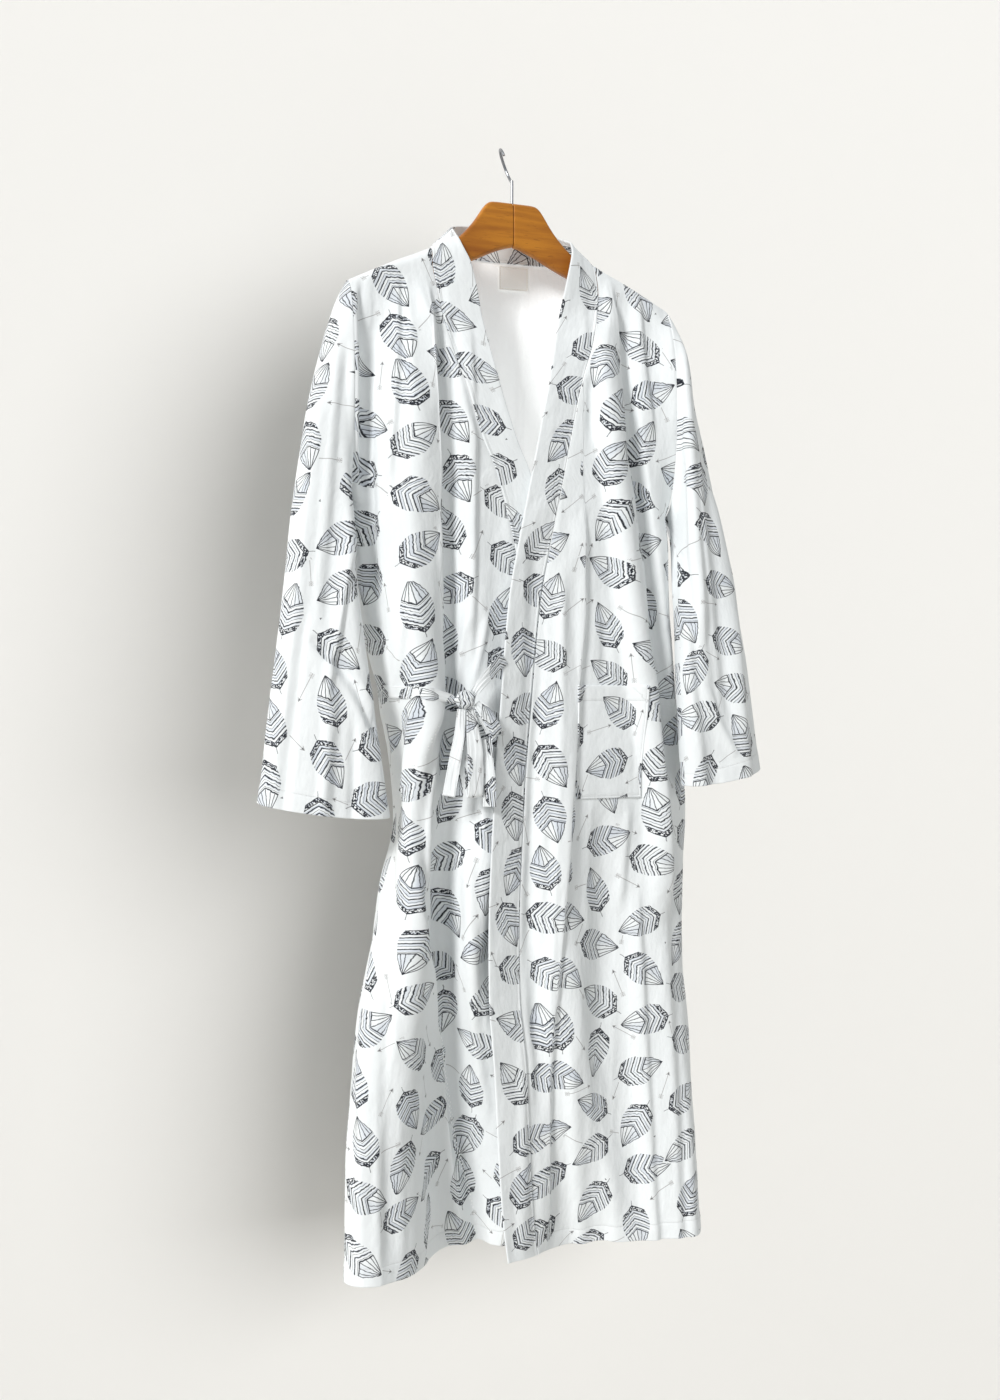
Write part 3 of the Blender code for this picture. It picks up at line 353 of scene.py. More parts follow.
# The pressed line inside the viewer's right front, where the print breaks
PRESSED_LINE = crease(22, 5, 3.4, (86, 441), (86, 532), (77, 658), (71, 766), (60, 940), (53, 1018),
                      (44, 1138), (42, 1234), (40, 1300))
FRONT_CREASES = (
    # Viewer's left front: the long fold from the shoulder to the hem, and those beside it
    crease(36, 9, 8.2, (-101, 178), (-97, 214), (-95, 346), (-94, 490), (-95, 658), (-104, 730),
           (-113, 814), (-113, 940), (-98, 1026), (-89, 1091), (-76, 1187), (-64, 1235), (-50, 1300)),
    crease(18, 6, 3.2, (-50, 226), (-46, 346), (-46, 490), (-49, 598)),
    crease(12, 12, -3, (-70, 200), (-72, 346), (-74, 470), (-72, 600)),
    crease(16, 14, -3.4, (-168, 214), (-173, 346), (-168, 490), (-158, 598)),
    crease(18, 6, 2.6, (-137, 166), (-136, 226), (-139, 298), (-146, 380)),
    crease(10, 10, -2.2, (-118, 168), (-113, 226), (-110, 300)),
    crease(8, 12, -3, (-180, 150), (-178, 260), (-176, 400), (-172, 520)),
    crease(9, 9, -3.2, (-84, 170), (-85, 226), (-83, 298)),
    crease(14, 22, -6, (-86, 780), (-86, 958), (-79, 1042), (-71, 1138), (-54, 1258), (-41, 1330)),
    crease(18, 10, 3, (-50, 850), (-48, 958), (-44, 1042), (-30, 1150)),
    crease(16, 20, -2.8, (-150, 770), (-150, 900), (-152, 1050), (-146, 1330)),
    crease(10, 16, 2.4, (-178, 980), (-180, 1120), (-184, 1330)),
    crease(18, 10, 2.6, (-120, 1000), (-116, 1120), (-108, 1330)),
    # Puckers round the tie and its knot
    crease(8, 6, 2.2, (-52, 560), (-60, 600), (-66, 648), fade=30),
    crease(7, 6, 1.8, (-30, 560), (-40, 610), (-50, 650), fade=30),
    crease(6, 7, -2, (-78, 580), (-74, 620), (-72, 652), fade=30),
    crease(8, 8, -2.4, (-74, 676), (-82, 730), (-90, 800), fade=40),
    crease(6, 10, 2, (-44, 680), (-36, 740), (-34, 830), fade=40),
    crease(10, 7, 2.2, (-130, 560), (-136, 610), (-142, 648), fade=30),
    crease(10, 9, -2.6, (-142, 664), (-136, 710), (-130, 790), fade=40),
    crease(7, 6, 2, (-118, 668), (-122, 720), (-124, 770), fade=30),
    # Viewer's right front: the long fold from the shoulder, and those beside it
    crease(28, 7, 6.2, (118, 176), (120, 216), (122, 272), (128, 367), (136, 407), (142, 458),
           (149, 515), (155, 583), (164, 637), (168, 673), (176, 734), (181, 772), (188, 900)),
    crease(12, 18, -3.4, (134, 190), (138, 290), (150, 407), (164, 515), (178, 640), (190, 760)),
    PRESSED_LINE,
    crease(10, 12, -2.4, (96, 180), (98, 260), (96, 340)),
    crease(14, 7, 2.6, (150, 176), (156, 250), (168, 330)),
    crease(16, 18, -3.4, (30, 470), (26, 600), (22, 760), (22, 940), (26, 1060)),
    crease(10, 8, 1.4, (62, 520), (58, 700), (50, 900), (44, 1040)),
    crease(12, 16, 2.6, (20, 960), (16, 1080), (14, 1200), (12, 1320)),
    crease(26, 20, -3.4, (112, 800), (108, 950), (104, 1100), (110, 1320)),
    crease(22, 8, 3.2, (150, 900), (158, 1050), (166, 1200), (174, 1320)),
    crease(12, 10, -2.6, (194, 860), (200, 1000), (206, 1140), (212, 1320)),
    crease(14, 16, 2.4, (70, 1080), (76, 1200), (84, 1320)),
    # Fullness above the pocket, and the drag under its lower corner
    crease(10, 12, -1.4, (112, 560), (112, 600), (110, 634), fade=30),
    crease(10, 8, 1.8, (140, 790), (134, 840), (130, 900), fade=40),
)
SLEEVE_CREASES = (
    # Viewer's left sleeve
    crease(12, 10, -4.2, (-234, 586), (-199, 625), (-180, 656), (-160, 698), fade=30),
    crease(14, 18, -3, (-196, 240), (-204, 330), (-212, 440), (-222, 560)),
    crease(10, 16, 2.6, (-232, 300), (-246, 420), (-258, 560), (-272, 700)),
    crease(12, 7, 3, (-186, 400), (-192, 470), (-206, 560), (-224, 660)),
    crease(14, 10, -2.6, (-250, 560), (-262, 660), (-274, 790)),
    crease(12, 14, 3, (-216, 650), (-222, 720), (-228, 800)),
    crease(9, 8, -2.4, (-190, 690), (-190, 750), (-192, 800), fade=40),
    # Viewer's right sleeve
    crease(16, 10, 3.2, (204, 220), (212, 330), (220, 450), (228, 580)),
    crease(12, 16, -3.2, (226, 270), (236, 380), (248, 520), (262, 680)),
    crease(12, 8, 2.6, (250, 400), (262, 520), (274, 640), (284, 770)),
    crease(14, 12, -3, (212, 500), (222, 600), (236, 700), (246, 780)),
    crease(12, 8, 2.2, (232, 640), (250, 690), (272, 730), fade=40),
    crease(10, 10, -2.6, (190, 300), (196, 400), (204, 480)),
)
SLEEVE_BACK_CREASES = (
    crease(14, 10, 3, (226, 500), (240, 620), (256, 760)),
    crease(16, 12, -3, (238, 240), (250, 380), (268, 560)),
    crease(12, 18, 3.2, (-224, 250), (-236, 420), (-250, 620)),
    crease(12, 12, -2.8, (-250, 480), (-262, 620), (-276, 780)),
    crease(14, 8, 2.6, (-206, 600), (-212, 700), (-220, 790)),
)
BACK_CREASES = (
    crease(16, 34, 4.4, (-140, 190), (-146, 420), (-150, 760), (-156, 1320)),
    crease(22, 10, -3.2, (-104, 210), (-108, 500), (-112, 900)),
    crease(9, 30, 4, (-60, 180), (-58, 460), (-64, 980), (-70, 1320)),
    crease(22, 20, -2.8, (-20, 260), (-14, 640), (-10, 1320)),
    crease(30, 8, 4, (26, 180), (30, 380), (36, 840), (44, 1320)),
    crease(18, 20, -3.6, (74, 230), (78, 560), (86, 1080)),
    crease(30, 9, 4.4, (112, 190), (122, 520), (136, 960), (150, 1320)),
    crease(14, 20, -3, (160, 260), (168, 560), (184, 1000), (200, 1320)),
    crease(12, 10, 2.4, (-176, 900), (-186, 1100), (-192, 1320)),
    *SLEEVE_BACK_CREASES,
)


def relief(points: Array, creases: tuple[Crease, ...], facing: Facing) -> Array:
    """Sum of the creases at places on the garment."""
    across, down = seen(points) if facing is Facing.FRONT else (points[..., 0], -points[..., 2])
    return CREASE_GAIN * sum((crease.relief(across, down) for crease in creases), np.zeros(across.shape))


def beside(*parts: Array) -> Array:
    """Numbers set side by side as the last axis."""
    return np.stack(parts, axis=-1)


def unit(vectors: Array) -> Array:
    """Directions of length 1."""
    return vectors / np.maximum(np.linalg.norm(vectors, axis=-1, keepdims=True), 1e-12)


def groove(away: Array, wide: float) -> Array:
    """Narrow soft dip, 1 at 0."""
    return np.exp(-((away / wide) ** 2))


def grid_normals(points: Array, wrap: bool = False) -> Array:
    """Unit normals of a grid of points, wrapped round its columns or open."""
    if wrap:
        across = np.roll(points, -1, axis=1) - np.roll(points, 1, axis=1)
    else:
        across = np.gradient(points, axis=1)
    return unit(np.cross(np.gradient(points, axis=0), across))


def facing_y(normal: Array, way: int) -> Array:
    """Normals turned all together, so that most of them face along way in Y."""
    return normal if way * normal[..., 1].mean() > 0 else -normal


def outward(normal: Array, points: Array) -> Array:
    """Normals of a tube turned all together, so that they face out."""
    return normal if np.sum(normal * (points - points.mean(axis=1, keepdims=True))) > 0 else -normal


def raised(points: Array, normal: Array, lift: Array, level: int | None = None) -> Array:
    """Points lifted along their normals, the first row kept in place along one axis where asked."""
    outer = points + normal * lift[..., None]
    if level is not None:
        outer[0, :, level] = points[0, :, level]
    return outer


def run_lengths(points: Array, axis: int, parts: tuple[int, ...] = (0, 1, 2)) -> Array:
    """Length of cloth from the grid's border to each point, along one axis."""
    step = np.linalg.norm(np.diff(points[..., list(parts)], axis=axis), axis=2)
    start = np.zeros_like(np.take(step, [0], axis=axis))
    return np.concatenate([start, np.cumsum(step, axis=axis)], axis=axis)


@dataclass
class ClothSheet:
    """A thin wall of cloth on a grid of outer points, with its cut as a UV map.

    cut is the place on the flat cloth and stitch the distance from a row of
    stitches and the run along it, both in metres. turned marks the rows whose
    inner face shows the printed side, at a hem or cuff.
    """

    name: str
    outer: Array
    normal: Array
    cut: Array
    stitch: Array
    thickness: Array | float = CLOTH
    wrap: bool = False
    turned: Array | None = None

    def build(self, looks: tuple[Look, Look]) -> Thing:
        """Close the wall and give it its finishes.

        Args:
            looks: finish of the outer face and of the inner face.

        Returns:
            The new object, at its place.
        """
        rows, cols = self.outer.shape[:2]
        last = cols if self.wrap else cols - 1
        wide = cols + 1 if self.wrap else cols
        depth = np.broadcast_to(np.asarray(self.thickness, float), (rows, cols))[..., None]
        verts = np.concatenate([self.outer.reshape(-1, 3), (self.outer - self.normal * depth).reshape(-1, 3)])
        below = rows * cols
        r, c = np.meshgrid(np.arange(rows - 1), np.arange(last), indexing="ij")
        r, c = r.ravel(), c.ravel()
        corners = ((0, 0), (1, 0), (1, 1), (0, 1))
        quads, marks = [], []

        def add(places: list[Array], flats: list[Array], slot: Array | int) -> None:
            """Keep one set of quads with its UV places and its finish."""
            quads.append((np.stack(places, 1), np.stack(flats, 1)))
            marks.append(np.broadcast_to(slot, places[0].shape))

        place = [(r + i) * cols + (c + j) % cols for i, j in corners]
        flat = [(r + i) * wide + c + j for i, j in corners]
        inside = 1 if self.turned is None else np.where(self.turned[r], 0, 1)
        add(place, flat, 0)
        add([below + p for p in reversed(place)], list(reversed(flat)), inside)
        ring = np.arange(last)
        for row, turn in ((0, 1), (rows - 1, -1)):
            a, b = row * cols + ring, row * cols + (ring + 1) % cols
            fa, fb = row * wide + ring, row * wide + ring + 1
            order = [a, b, below + b, below + a][::turn]
            add(order, [fa, fb, fb, fa][::turn], 0)
        if not self.wrap:
            line = np.arange(rows - 1)
            for col, turn in ((0, -1), (cols - 1, 1)):
                a, b = line * cols + col, (line + 1) * cols + col
                add([a, b, below + b, below + a][::turn], [a, b, b, a][::turn], 0)
        faces = np.concatenate([q[0] for q in quads])
        flats = np.concatenate([q[1] for q in quads])
        slots = np.concatenate(marks)
        p = verts[faces]
        volume = np.einsum("ij,ij->i", p[:, 0], np.cross(p[:, 1], p[:, 2]) + np.cross(p[:, 2], p[:, 3])).sum()
        if volume < 0:
            faces, flats = faces[:, ::-1], flats[:, ::-1]
        mesh = bpy.data.meshes.new(self.name)
        mesh.from_pydata((verts - SEAT).tolist(), [], faces.tolist())
        for title, values in (("cut", self.cut), ("stitch", self.stitch)):
            layer = mesh.uv_layers.new(name=title)
            layer.uv.foreach_set("vector", values.reshape(-1, 2)[flats.ravel()].ravel())
        for look in looks:
            mesh.materials.append(look)
        mesh.polygons.foreach_set("material_index", slots.astype(np.int32))
        border = np.ones(len(faces), bool)
        border[2 * (rows - 1) * last:] = False
        mesh.polygons.foreach_set("use_smooth", border)
        mesh.update()
        made = bpy.data.objects.new(self.name, mesh)
        bpy.context.scene.collection.objects.link(made)
        return made


class Value:
    """A number, vector or colour of a finish, worked on with plain arithmetic."""

    def __init__(self, graph: "Graph", socket: Socket) -> None:
        """Stand for one socket of the graph."""
        self.graph, self.socket = graph, socket

    def __add__(self, other: object) -> "Value":
        """Sum."""
        return self.graph.math("ADD", self, other)

    def __sub__(self, other: object) -> "Value":
        """Difference."""
        return self.graph.math("SUBTRACT", self, other)

    def __rsub__(self, other: object) -> "Value":
        """Difference from a number."""
        return self.graph.math("SUBTRACT", other, self)

    def __mul__(self, other: object) -> "Value":
        """Product."""
        return self.graph.math("MULTIPLY", self, other)

    def __truediv__(self, other: object) -> "Value":
        """Quotient."""
        return self.graph.math("DIVIDE", self, other)

    def __mod__(self, other: object) -> "Value":
        """Remainder."""
        return self.graph.math("MODULO", self, other)

    def __abs__(self) -> "Value":
        """Size without its sign."""
        return self.graph.math("ABSOLUTE", self)

    def floor(self) -> "Value":
        """Whole part."""
        return self.graph.math("FLOOR", self)

    def fract(self) -> "Value":
        """Part past the whole."""
        return self.graph.math("FRACT", self)


class Graph:
    """A new material and its shader nodes, written as plain calls."""

    def __init__(self, name: str) -> None:
        """Make the material and start from its own tree."""
        self.material = bpy.data.materials.new(name)
        self.material.use_nodes = True
        self.tree = self.material.node_tree
        self.shader = self.tree.nodes["Principled BSDF"]

    def put(self, socket: Socket, value: object) -> None:
        """Link a socket, or set it to a constant."""
        if isinstance(value, Value):
            self.tree.links.new(value.socket, socket)
        else:
            socket.default_value = value

    def node(self, kind: str, inputs: dict[str | int, object], output: str | int = 0,
             **settings: object) -> Value:
        """One node of the tree.

        Args:
            kind: the node's type, without the words that all of them start with.
            inputs: a value for each input that isn't left as it is.
            output: the output to read.
            settings: the node's own properties.

        Returns:
            The value at that output.
        """
        made = self.tree.nodes.new(f"ShaderNode{kind}")
        for name, setting in settings.items():
            setattr(made, name, setting)
        for key, value in inputs.items():
            self.put(made.inputs[key], value)
        return Value(self, made.outputs[output])

    def math(self, operation: str, *values: object) -> Value:
        """One Math node over values or numbers."""
        return self.node("Math", dict(enumerate(values)), operation=operation)

    def highest(self, *values: object) -> Value:
        """The largest of some values."""
        return reduce(lambda a, b: self.math("MAXIMUM", a, b), values)

    def rise(self, value: object, low: object, high: object) -> Value:
        """Soft step from 0 at low to 1 at high."""
        return self.node("MapRange", {"Value": value, "From Min": low, "From Max": high}, "Result",
                         interpolation_type="SMOOTHSTEP")

    def line(self, distance: object, half: object) -> Value:
        """1 within half of a line, and a soft edge past it."""
        return self.rise(distance, half * 1.5, half * 0.6)

    def uv(self, name: str) -> Value:
        """The piece's own UV map."""
        return self.node("UVMap", {}, "UV", uv_map=name)

    def place(self) -> Value:
        """Object coordinates."""
        return self.node("TexCoord", {}, "Object")

    def join(self, x: object, y: object, z: object) -> Value:
        """A vector of three numbers."""
        return self.node("CombineXYZ", {0: x, 1: y, 2: z})

    def split(self, vector: Value) -> list[Value]:
        """The three numbers of a vector."""
        return [Value(self, out) for out in self.node("SeparateXYZ", {0: vector}).socket.node.outputs]

    def scatter(self, x: object, y: object, seed: float) -> list[Value]:
        """Three even random numbers for each whole x and y."""
        return self.split(self.node("TexWhiteNoise", {"Vector": self.join(x, y, seed)}, "Color",
                                    noise_dimensions="3D"))

    def noise(self, vector: Value, scale: float | tuple[float, float, float], detail: float = 2.0) -> Value:
        """Noise between 0 and 1, of one scale or of one for each axis."""
        if isinstance(scale, tuple):
            vector, scale = self.node("Mapping", {"Vector": vector, "Scale": scale}), 1.0
        return self.node("TexNoise", {"Vector": vector, "Scale": scale, "Detail": detail}, "Fac")

    def mix(self, share: object, a: object, b: object) -> Value:
        """Colour a turning into colour b."""
        return self.node("Mix", {0: share, 6: a, 7: b}, 2, data_type="RGBA")

    def bump(self, height: Value, distance: float, strength: float, under: Value | None = None) -> Value:
        """A bump normal from a height, over another bump where one is given."""
        inputs = {"Height": height, "Distance": distance, "Strength": strength}
        return self.node("Bump", inputs if under is None else {**inputs, "Normal": under})

    def stitches(self, pitch: float, out: float, full: float, end: float) -> tuple[Value, Value]:
        """A row of stitches along the piece's own line.

        Args:
            pitch: length of a stitch and its gap in metres.
            out: distance from the row at which the thread ends.
            full: distance within which the thread is whole.
            end: where in half a pitch the thread is whole, before its gap.

        Returns:
            Distance from the row, and the thread.
        """
        away, run, _ = self.split(self.uv("stitch"))
        dash = abs((run / pitch).fract() - 0.5)
        return abs(away), self.rise(abs(away), out, full) * self.rise(dash, 0.42, end)

    def finish(self, looks: dict[str, object], glow: float = 0.0) -> Look:
        """Set the shader and give the material.

        Args:
            looks: a value for each of the shader's inputs that is set.
            glow: strength of painted light, a glow of the surface's own base colour that brightens it, 0 for
                none.

        Returns:
            The finished material.
        """
        for name, value in looks.items():
            self.put(self.shader.inputs[name], value)
        # Painted light: the surface glows with its own base colour, though it is no lamp
        if glow:
            self.put(self.shader.inputs["Emission Color"], looks["Base Color"])
            self.shader.inputs["Emission Strength"].default_value = glow
            self.material.cycles.emission_sampling = "NONE"
        return self.material


@dataclass(frozen=True)
class Spot:
    """Where cloth lies in its motif, in millimetres along and across, and two random numbers."""

    p: Value
    q: Value
    one: Value
    two: Value


@dataclass(frozen=True)
class FeatherPrint:
    """Tossed feathers and arrows in grey ink. Lengths inside a motif are in millimetres."""

    pitch: float = 0.0640
    toss: float = 16.0
    length: float = 33.0
    tail: float = 39.0
    width: float = 17.4
    sweep: float = 0.62
    lines: float = 3.7
    cap: float = 5.0
    fan: float = 4.6
    foot: float = -24.4
    foot_line: float = -19.4
    arrow_half: float = 17.0

    def lattice(self, g: Graph, u: Value, v: Value, cell: tuple[float, float], seed: float) -> Spot:
        """One motif's own millimetres in a lattice of cells.

        Args:
            g: the material's graph.
            u: metres across the cloth.
            v: metres down the cloth.
            cell: width and height of a cell in metres.
            seed: number that sets the scatter.

        Returns:
            The place in the cell's motif.
        """
        across, down = u / cell[0], v / cell[1]
        a, b, c = g.scatter(across.floor(), down.floor(), seed)
        d, e, size = g.scatter(across.floor(), down.floor(), seed + 4.7)
        turn = (a * 8.0).floor() * (math.pi / 4) + (b * 0.5 + 0.15)
        cos, sin = g.math("COSINE", turn), g.math("SINE", turn)
        x = (across.fract() - 0.5) * (cell[0] * 1000.0) + (d - 0.5) * self.toss
        y = (down.fract() - 0.5) * (cell[1] * 1000.0) + (e - 0.5) * self.toss * (cos * cos)
        scale = size * 0.12 + 1.0
        return Spot((x * cos + y * sin) / scale, (y * cos - x * sin) / scale, b, c)

    def feather(self, g: Graph, spot: Spot, wobble: Value) -> tuple[Value, Value, Value]:
        """Ink, wash and cover of the feather in a cell.

        Args:
            g: the material's graph.
            spot: the place in the motif.
            wobble: noise that makes the lines look drawn by hand.

        Returns:
            Ink, wash, and a slightly wider cover that keeps other motifs off it.
        """
        shake = wobble * 2.4 - 1.2
        p, q = spot.p + shake, spot.q + shake * 0.7
        aside = abs(q)
        t = g.highest(p / self.length, p / -self.tail)
        room = (1.0 - t * t) * self.width * (1.0 - g.highest(p, 0.0) * 0.006) - aside
        chevron = p - aside * self.sweep
        body = g.rise(room, 0.0, 0.5) * g.rise(chevron, self.foot - 1.0, self.foot - 0.4)
        cover = g.rise(room, -2.6, -2.0) * g.rise(chevron, self.foot - 4.6, self.foot - 3.6)
        in_cap = g.rise(chevron, self.cap - 0.3, self.cap + 0.1)
        past_cap = 1.0 - in_cap

        count = (chevron + 19.2) / self.lines + 0.5
        thick = (count.floor() + 20.0) % 2.0
        stripes = g.line(abs(count.fract() - 0.5) * self.lines, thick * 0.40 + 0.34) * (thick * 0.25 + 0.75)
        stripes = stripes * past_cap * g.rise(chevron, self.foot_line - 1.0, self.foot_line - 0.5)
        foot = g.math("MINIMUM", abs(chevron - self.foot), abs(chevron - self.foot_line))
        dots = g.rise(g.noise(g.join(p, q, spot.one), 0.62, 1.0), 0.42, 0.50)
        dots = dots * (1.0 - g.rise(chevron, self.foot_line - 0.4, self.foot_line + 0.2))

        spread = self.length + 1.5 - p
        veins = (q / g.highest(spread, 0.6) * self.fan + 0.5).fract()
        veins = g.line(abs(veins - 0.5) * (spread / self.fan), 0.42) * in_cap
        rim = g.line(abs(room - 0.6), 0.55) * in_cap
        base = g.line(abs(chevron - self.cap), 0.70)
        point = g.rise(p, self.length - 4.6, self.length - 3.0)
        ink = g.highest(stripes, g.line(foot, 0.55), dots, veins * 0.92, rim, base, point) * body
        quill = g.line(aside, 0.38) * g.rise(p, -31.5, -31.0) * g.rise(p, -23.8, -24.6)

        bands = g.rise((chevron * 0.135 + spot.one).fract(), 0.40, 0.62) * past_cap
        tint = g.highest(bands, in_cap * g.rise(q, -2.0, 4.0)) * body * (spot.two * 0.55 + 0.35)
        return g.highest(ink, quill * 0.7), tint, cover

    def arrow(self, g: Graph, spot: Spot) -> tuple[Value, Value]:
        """Pale shaft and dark tip of the arrow in a cell."""
        p, half, aside = spot.p, self.arrow_half, abs(spot.q)
        along = g.rise(half - abs(p), 0.0, 0.5)
        shaft = g.line(aside, 0.42) * along
        head = g.line(abs(aside - (half - p) * 0.55), 0.42)
        head = head * g.rise(p, half - 4.6, half - 4.0) * g.rise(p, half + 0.6, half)
        barbs = g.line(abs(((p - aside) * 0.55 + 0.5).fract() - 0.5) * 1.8, 0.40)
        barbs = barbs * g.rise(p, 6.0 - half, 5.0 - half) * along * g.rise(aside, 2.9, 2.3)
        tip = g.rise((half - p) * 0.42 - aside, 0.0, 0.4) * g.rise(p, half - 3.6, half - 3.2)
        return g.highest(shaft, head, barbs) * g.rise(spot.two, 0.12, 0.13), tip


@dataclass(frozen=True)
class PrintedCotton:
    """Matt white plain weave, with the feather print on its face, and rows of stitches."""

    white: Colour = (0.872, 0.897, 0.902, 1.0)
    shade: Colour = (0.80, 0.82, 0.84, 1.0)
    ink: Colour = (0.014, 0.016, 0.024, 1.0)
    wash: Colour = (0.47, 0.52, 0.62, 1.0)
    pale: Colour = (0.26, 0.24, 0.23, 1.0)
    thread: Colour = (0.80, 0.80, 0.79, 1.0)
    printed: bool = True
    # Strength of painted light: a glow of the cloth's own colour, 0 for none
    glow: float = 0.0

    def make(self, name: str) -> Look:
        """The finish as a material."""
        g = Graph(name)
        cut = g.uv("cut")
        fibre = g.noise(cut, (1400.0, 1400.0, 1.0), 1.0)
        cloud = g.noise(cut, (14.0, 9.0, 1.0), 3.0)
        colour = g.mix(cloud * 0.10, self.white, self.shade)
        if self.printed:
            colour = self.lay_print(g, colour, cut)
        gap, thread = g.stitches(0.0028, 0.00050, 0.00028, 0.36)
        crumple = g.noise(cut, (38.0, 13.0, 1.0), 3.0) + g.noise(cut, (120.0, 70.0, 1.0)) * 0.30
        normal = g.bump(crumple, 0.0046, 0.55)
        normal = g.bump(g.rise(gap, 0.0026, 0.0) * -0.5 + thread * 0.8, 0.0006, 0.8, normal)
        return g.finish({
            "Base Color": g.mix(thread * 0.35, colour, self.thread),
            "Roughness": cloud * 0.08 + 0.82,
            "Normal": g.bump(fibre, 0.00012, 0.35, normal),
            "Sheen Weight": 0.12, "Sheen Roughness": 0.5, "Specular IOR Level": 0.25,
        }, self.glow)

    def lay_print(self, g: Graph, ground: Value, cut: Value) -> Value:
        """The print's colours over the ground."""
        design = FeatherPrint()
        u, v, _ = g.split(cut)
        wobble = g.noise(cut, 210.0, 1.0)
        cell = (2.0 * design.pitch, design.pitch)
        ink, tint, clear = 0.0, 0.0, 1.0
        for seed, x, y in ((1.0, u, v), (5.0, u + cell[0] / 2, v + cell[1] / 2)):
            lines, shade, cover = design.feather(g, design.lattice(g, x, y, cell, seed), wobble)
            ink, tint = lines * clear + ink, shade * clear + tint
            clear = (1.0 - cover) * clear
        pale, tip = design.arrow(g, design.lattice(g, u, v + cell[1] / 4, (design.pitch, design.pitch), 9.0))
        ink = ink * (g.rise(g.noise(cut, 900.0), 0.18, 0.52) * 0.24 + 0.76)
        colour = g.mix(tint * 0.58, ground, self.wash)
        colour = g.mix(pale * clear * 0.62, colour, self.pale)
        return g.mix(ink, g.mix(tip * clear * 0.8, colour, self.ink), self.ink)


@dataclass(frozen=True)
class LabelWeave:
    """Woven satin label, blank, with a stitched rim."""

    cream: Colour = (0.90, 0.89, 0.86, 1.0)
    shade: Colour = (0.80, 0.79, 0.75, 1.0)
    thread: Colour = (0.55, 0.53, 0.48, 1.0)
    # Painted light: the label glows a little with its own colour, lifting it out of the shade inside the neck
    glow: float = 0.22

    def make(self, name: str) -> Look:
        """The finish as a material."""
        g = Graph(name)
        weave = g.noise(g.uv("cut"), (500.0, 3200.0, 1.0), 1.0)
        sewn = g.stitches(0.0022, 0.00045, 0.00020, 0.34)[1]
        return g.finish({
            "Base Color": g.mix(sewn * 0.6, g.mix(weave, self.cream, self.shade), self.thread),
            "Roughness": weave * 0.2 + 0.42, "Normal": g.bump(weave, 0.0002, 0.5), "Sheen Weight": 0.2,
        }, self.glow)


@dataclass(frozen=True)
class OiledWood:
    """Warm orange-brown hardwood with long grain and a satin coat, with painted shade that darkens the arm at
    positive X towards its end.
    """

    light: Colour = (0.560, 0.215, 0.020, 1.0)
    deep: Colour = (0.300, 0.090, 0.010, 1.0)
    pore: Colour = (0.120, 0.034, 0.006, 1.0)

    def make(self, name: str) -> Look:
        """The finish as a material."""
        g = Graph(name)
        place = g.place()
        grain = g.noise(place, (14.0, 190.0, 150.0), 4.0)
        pores = g.rise(g.noise(place, (60.0, 1500.0, 1100.0)), 0.62, 0.72)
        colour = g.mix(g.rise(g.noise(place, (5.0, 40.0, 34.0)), 0.36, 0.66), self.light, self.deep)
        colour = g.mix(g.rise(grain, 0.42, 0.68) * 0.45, colour, self.deep)
        colour = g.mix(pores * 0.55, colour, self.pore)
        # Painted shade: the wood turns towards its deep colour along X, darkest out on the arm at positive X
        painted_shade = g.rise(g.split(place)[0], 0.035, 0.105) * 0.62
        return g.finish({
            "Base Color": g.mix(painted_shade, colour, self.deep), "Roughness": grain * 0.16 + 0.30,
            "Normal": g.bump(grain + pores, 0.0002, 0.30),
            "Coat Weight": 0.12, "Coat Roughness": 0.20, "Specular IOR Level": 0.30,
        })


@dataclass(frozen=True)
class SteelWire:
    """Grey drawn steel with fine lengthwise marks."""

    grey: Colour = (0.40, 0.41, 0.43, 1.0)
    dark: Colour = (0.24, 0.25, 0.27, 1.0)

    def make(self, name: str) -> Look:
        """The finish as a material."""
        g = Graph(name)
        marks = g.noise(g.place(), (2600.0, 2600.0, 160.0), 3.0)
        return g.finish({"Base Color": g.mix(marks, self.grey, self.dark), "Roughness": marks * 0.2 + 0.24,
                         "Normal": g.bump(marks, 0.0001, 0.3), "Metallic": 1.0})


@dataclass(frozen=True)
class Finishes:
    """The materials that the pieces share."""

    face: Look
    inside: Look
    label: Look
    wood: Look
    steel: Look

    @classmethod
    def make(cls) -> "Finishes":
        """Build each finish once."""
        return cls(
            PrintedCotton().make("printed_cotton_face"),
            # Painted light: the inside glows faintly with its own colour, brightening the shaded inside of the
            # robe
            PrintedCotton(printed=False, white=(0.86, 0.865, 0.86, 1.0), glow=0.27).make(
                "plain_cotton_inside"),
            LabelWeave().make("blank_label_weave"),
            OiledWood().make("oiled_hanger_wood"),
            SteelWire().make("grey_hook_steel"),
        )

    def cloth(self) -> tuple[Look, Look]:
        """Printed outside, plain inside."""
        return self.face, self.inside

    def doubled(self) -> tuple[Look, Look]:
        """Printed on both faces, where the cloth is doubled."""
        return self.face, self.face


def settle(piece: Thing, slot: str, *nodes: str) -> Thing:
    """Let a piece ride on the root and stand for its CAD nodes."""
    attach(piece, "root")
    if nodes:
        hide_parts(*nodes)
    LOG.info("%s: %d faces", piece.name, len(piece.data.polygons))
    return piece


def close_shares(count: int, total: float) -> Array:
    """Shares across a sheet, close together at both seams.

    Args:
        count: columns between the seams.
        total: rough width of the sheet in metres.

    Returns:
        Shares from 0 to 1.
    """
    near = np.array([0.0, 0.0007, 0.0016, 0.0030, 0.0050]) / total
    return np.concatenate([near, np.linspace(0.0082 / total, 1.0 - 0.0082 / total, count), 1.0 - near[::-1]])


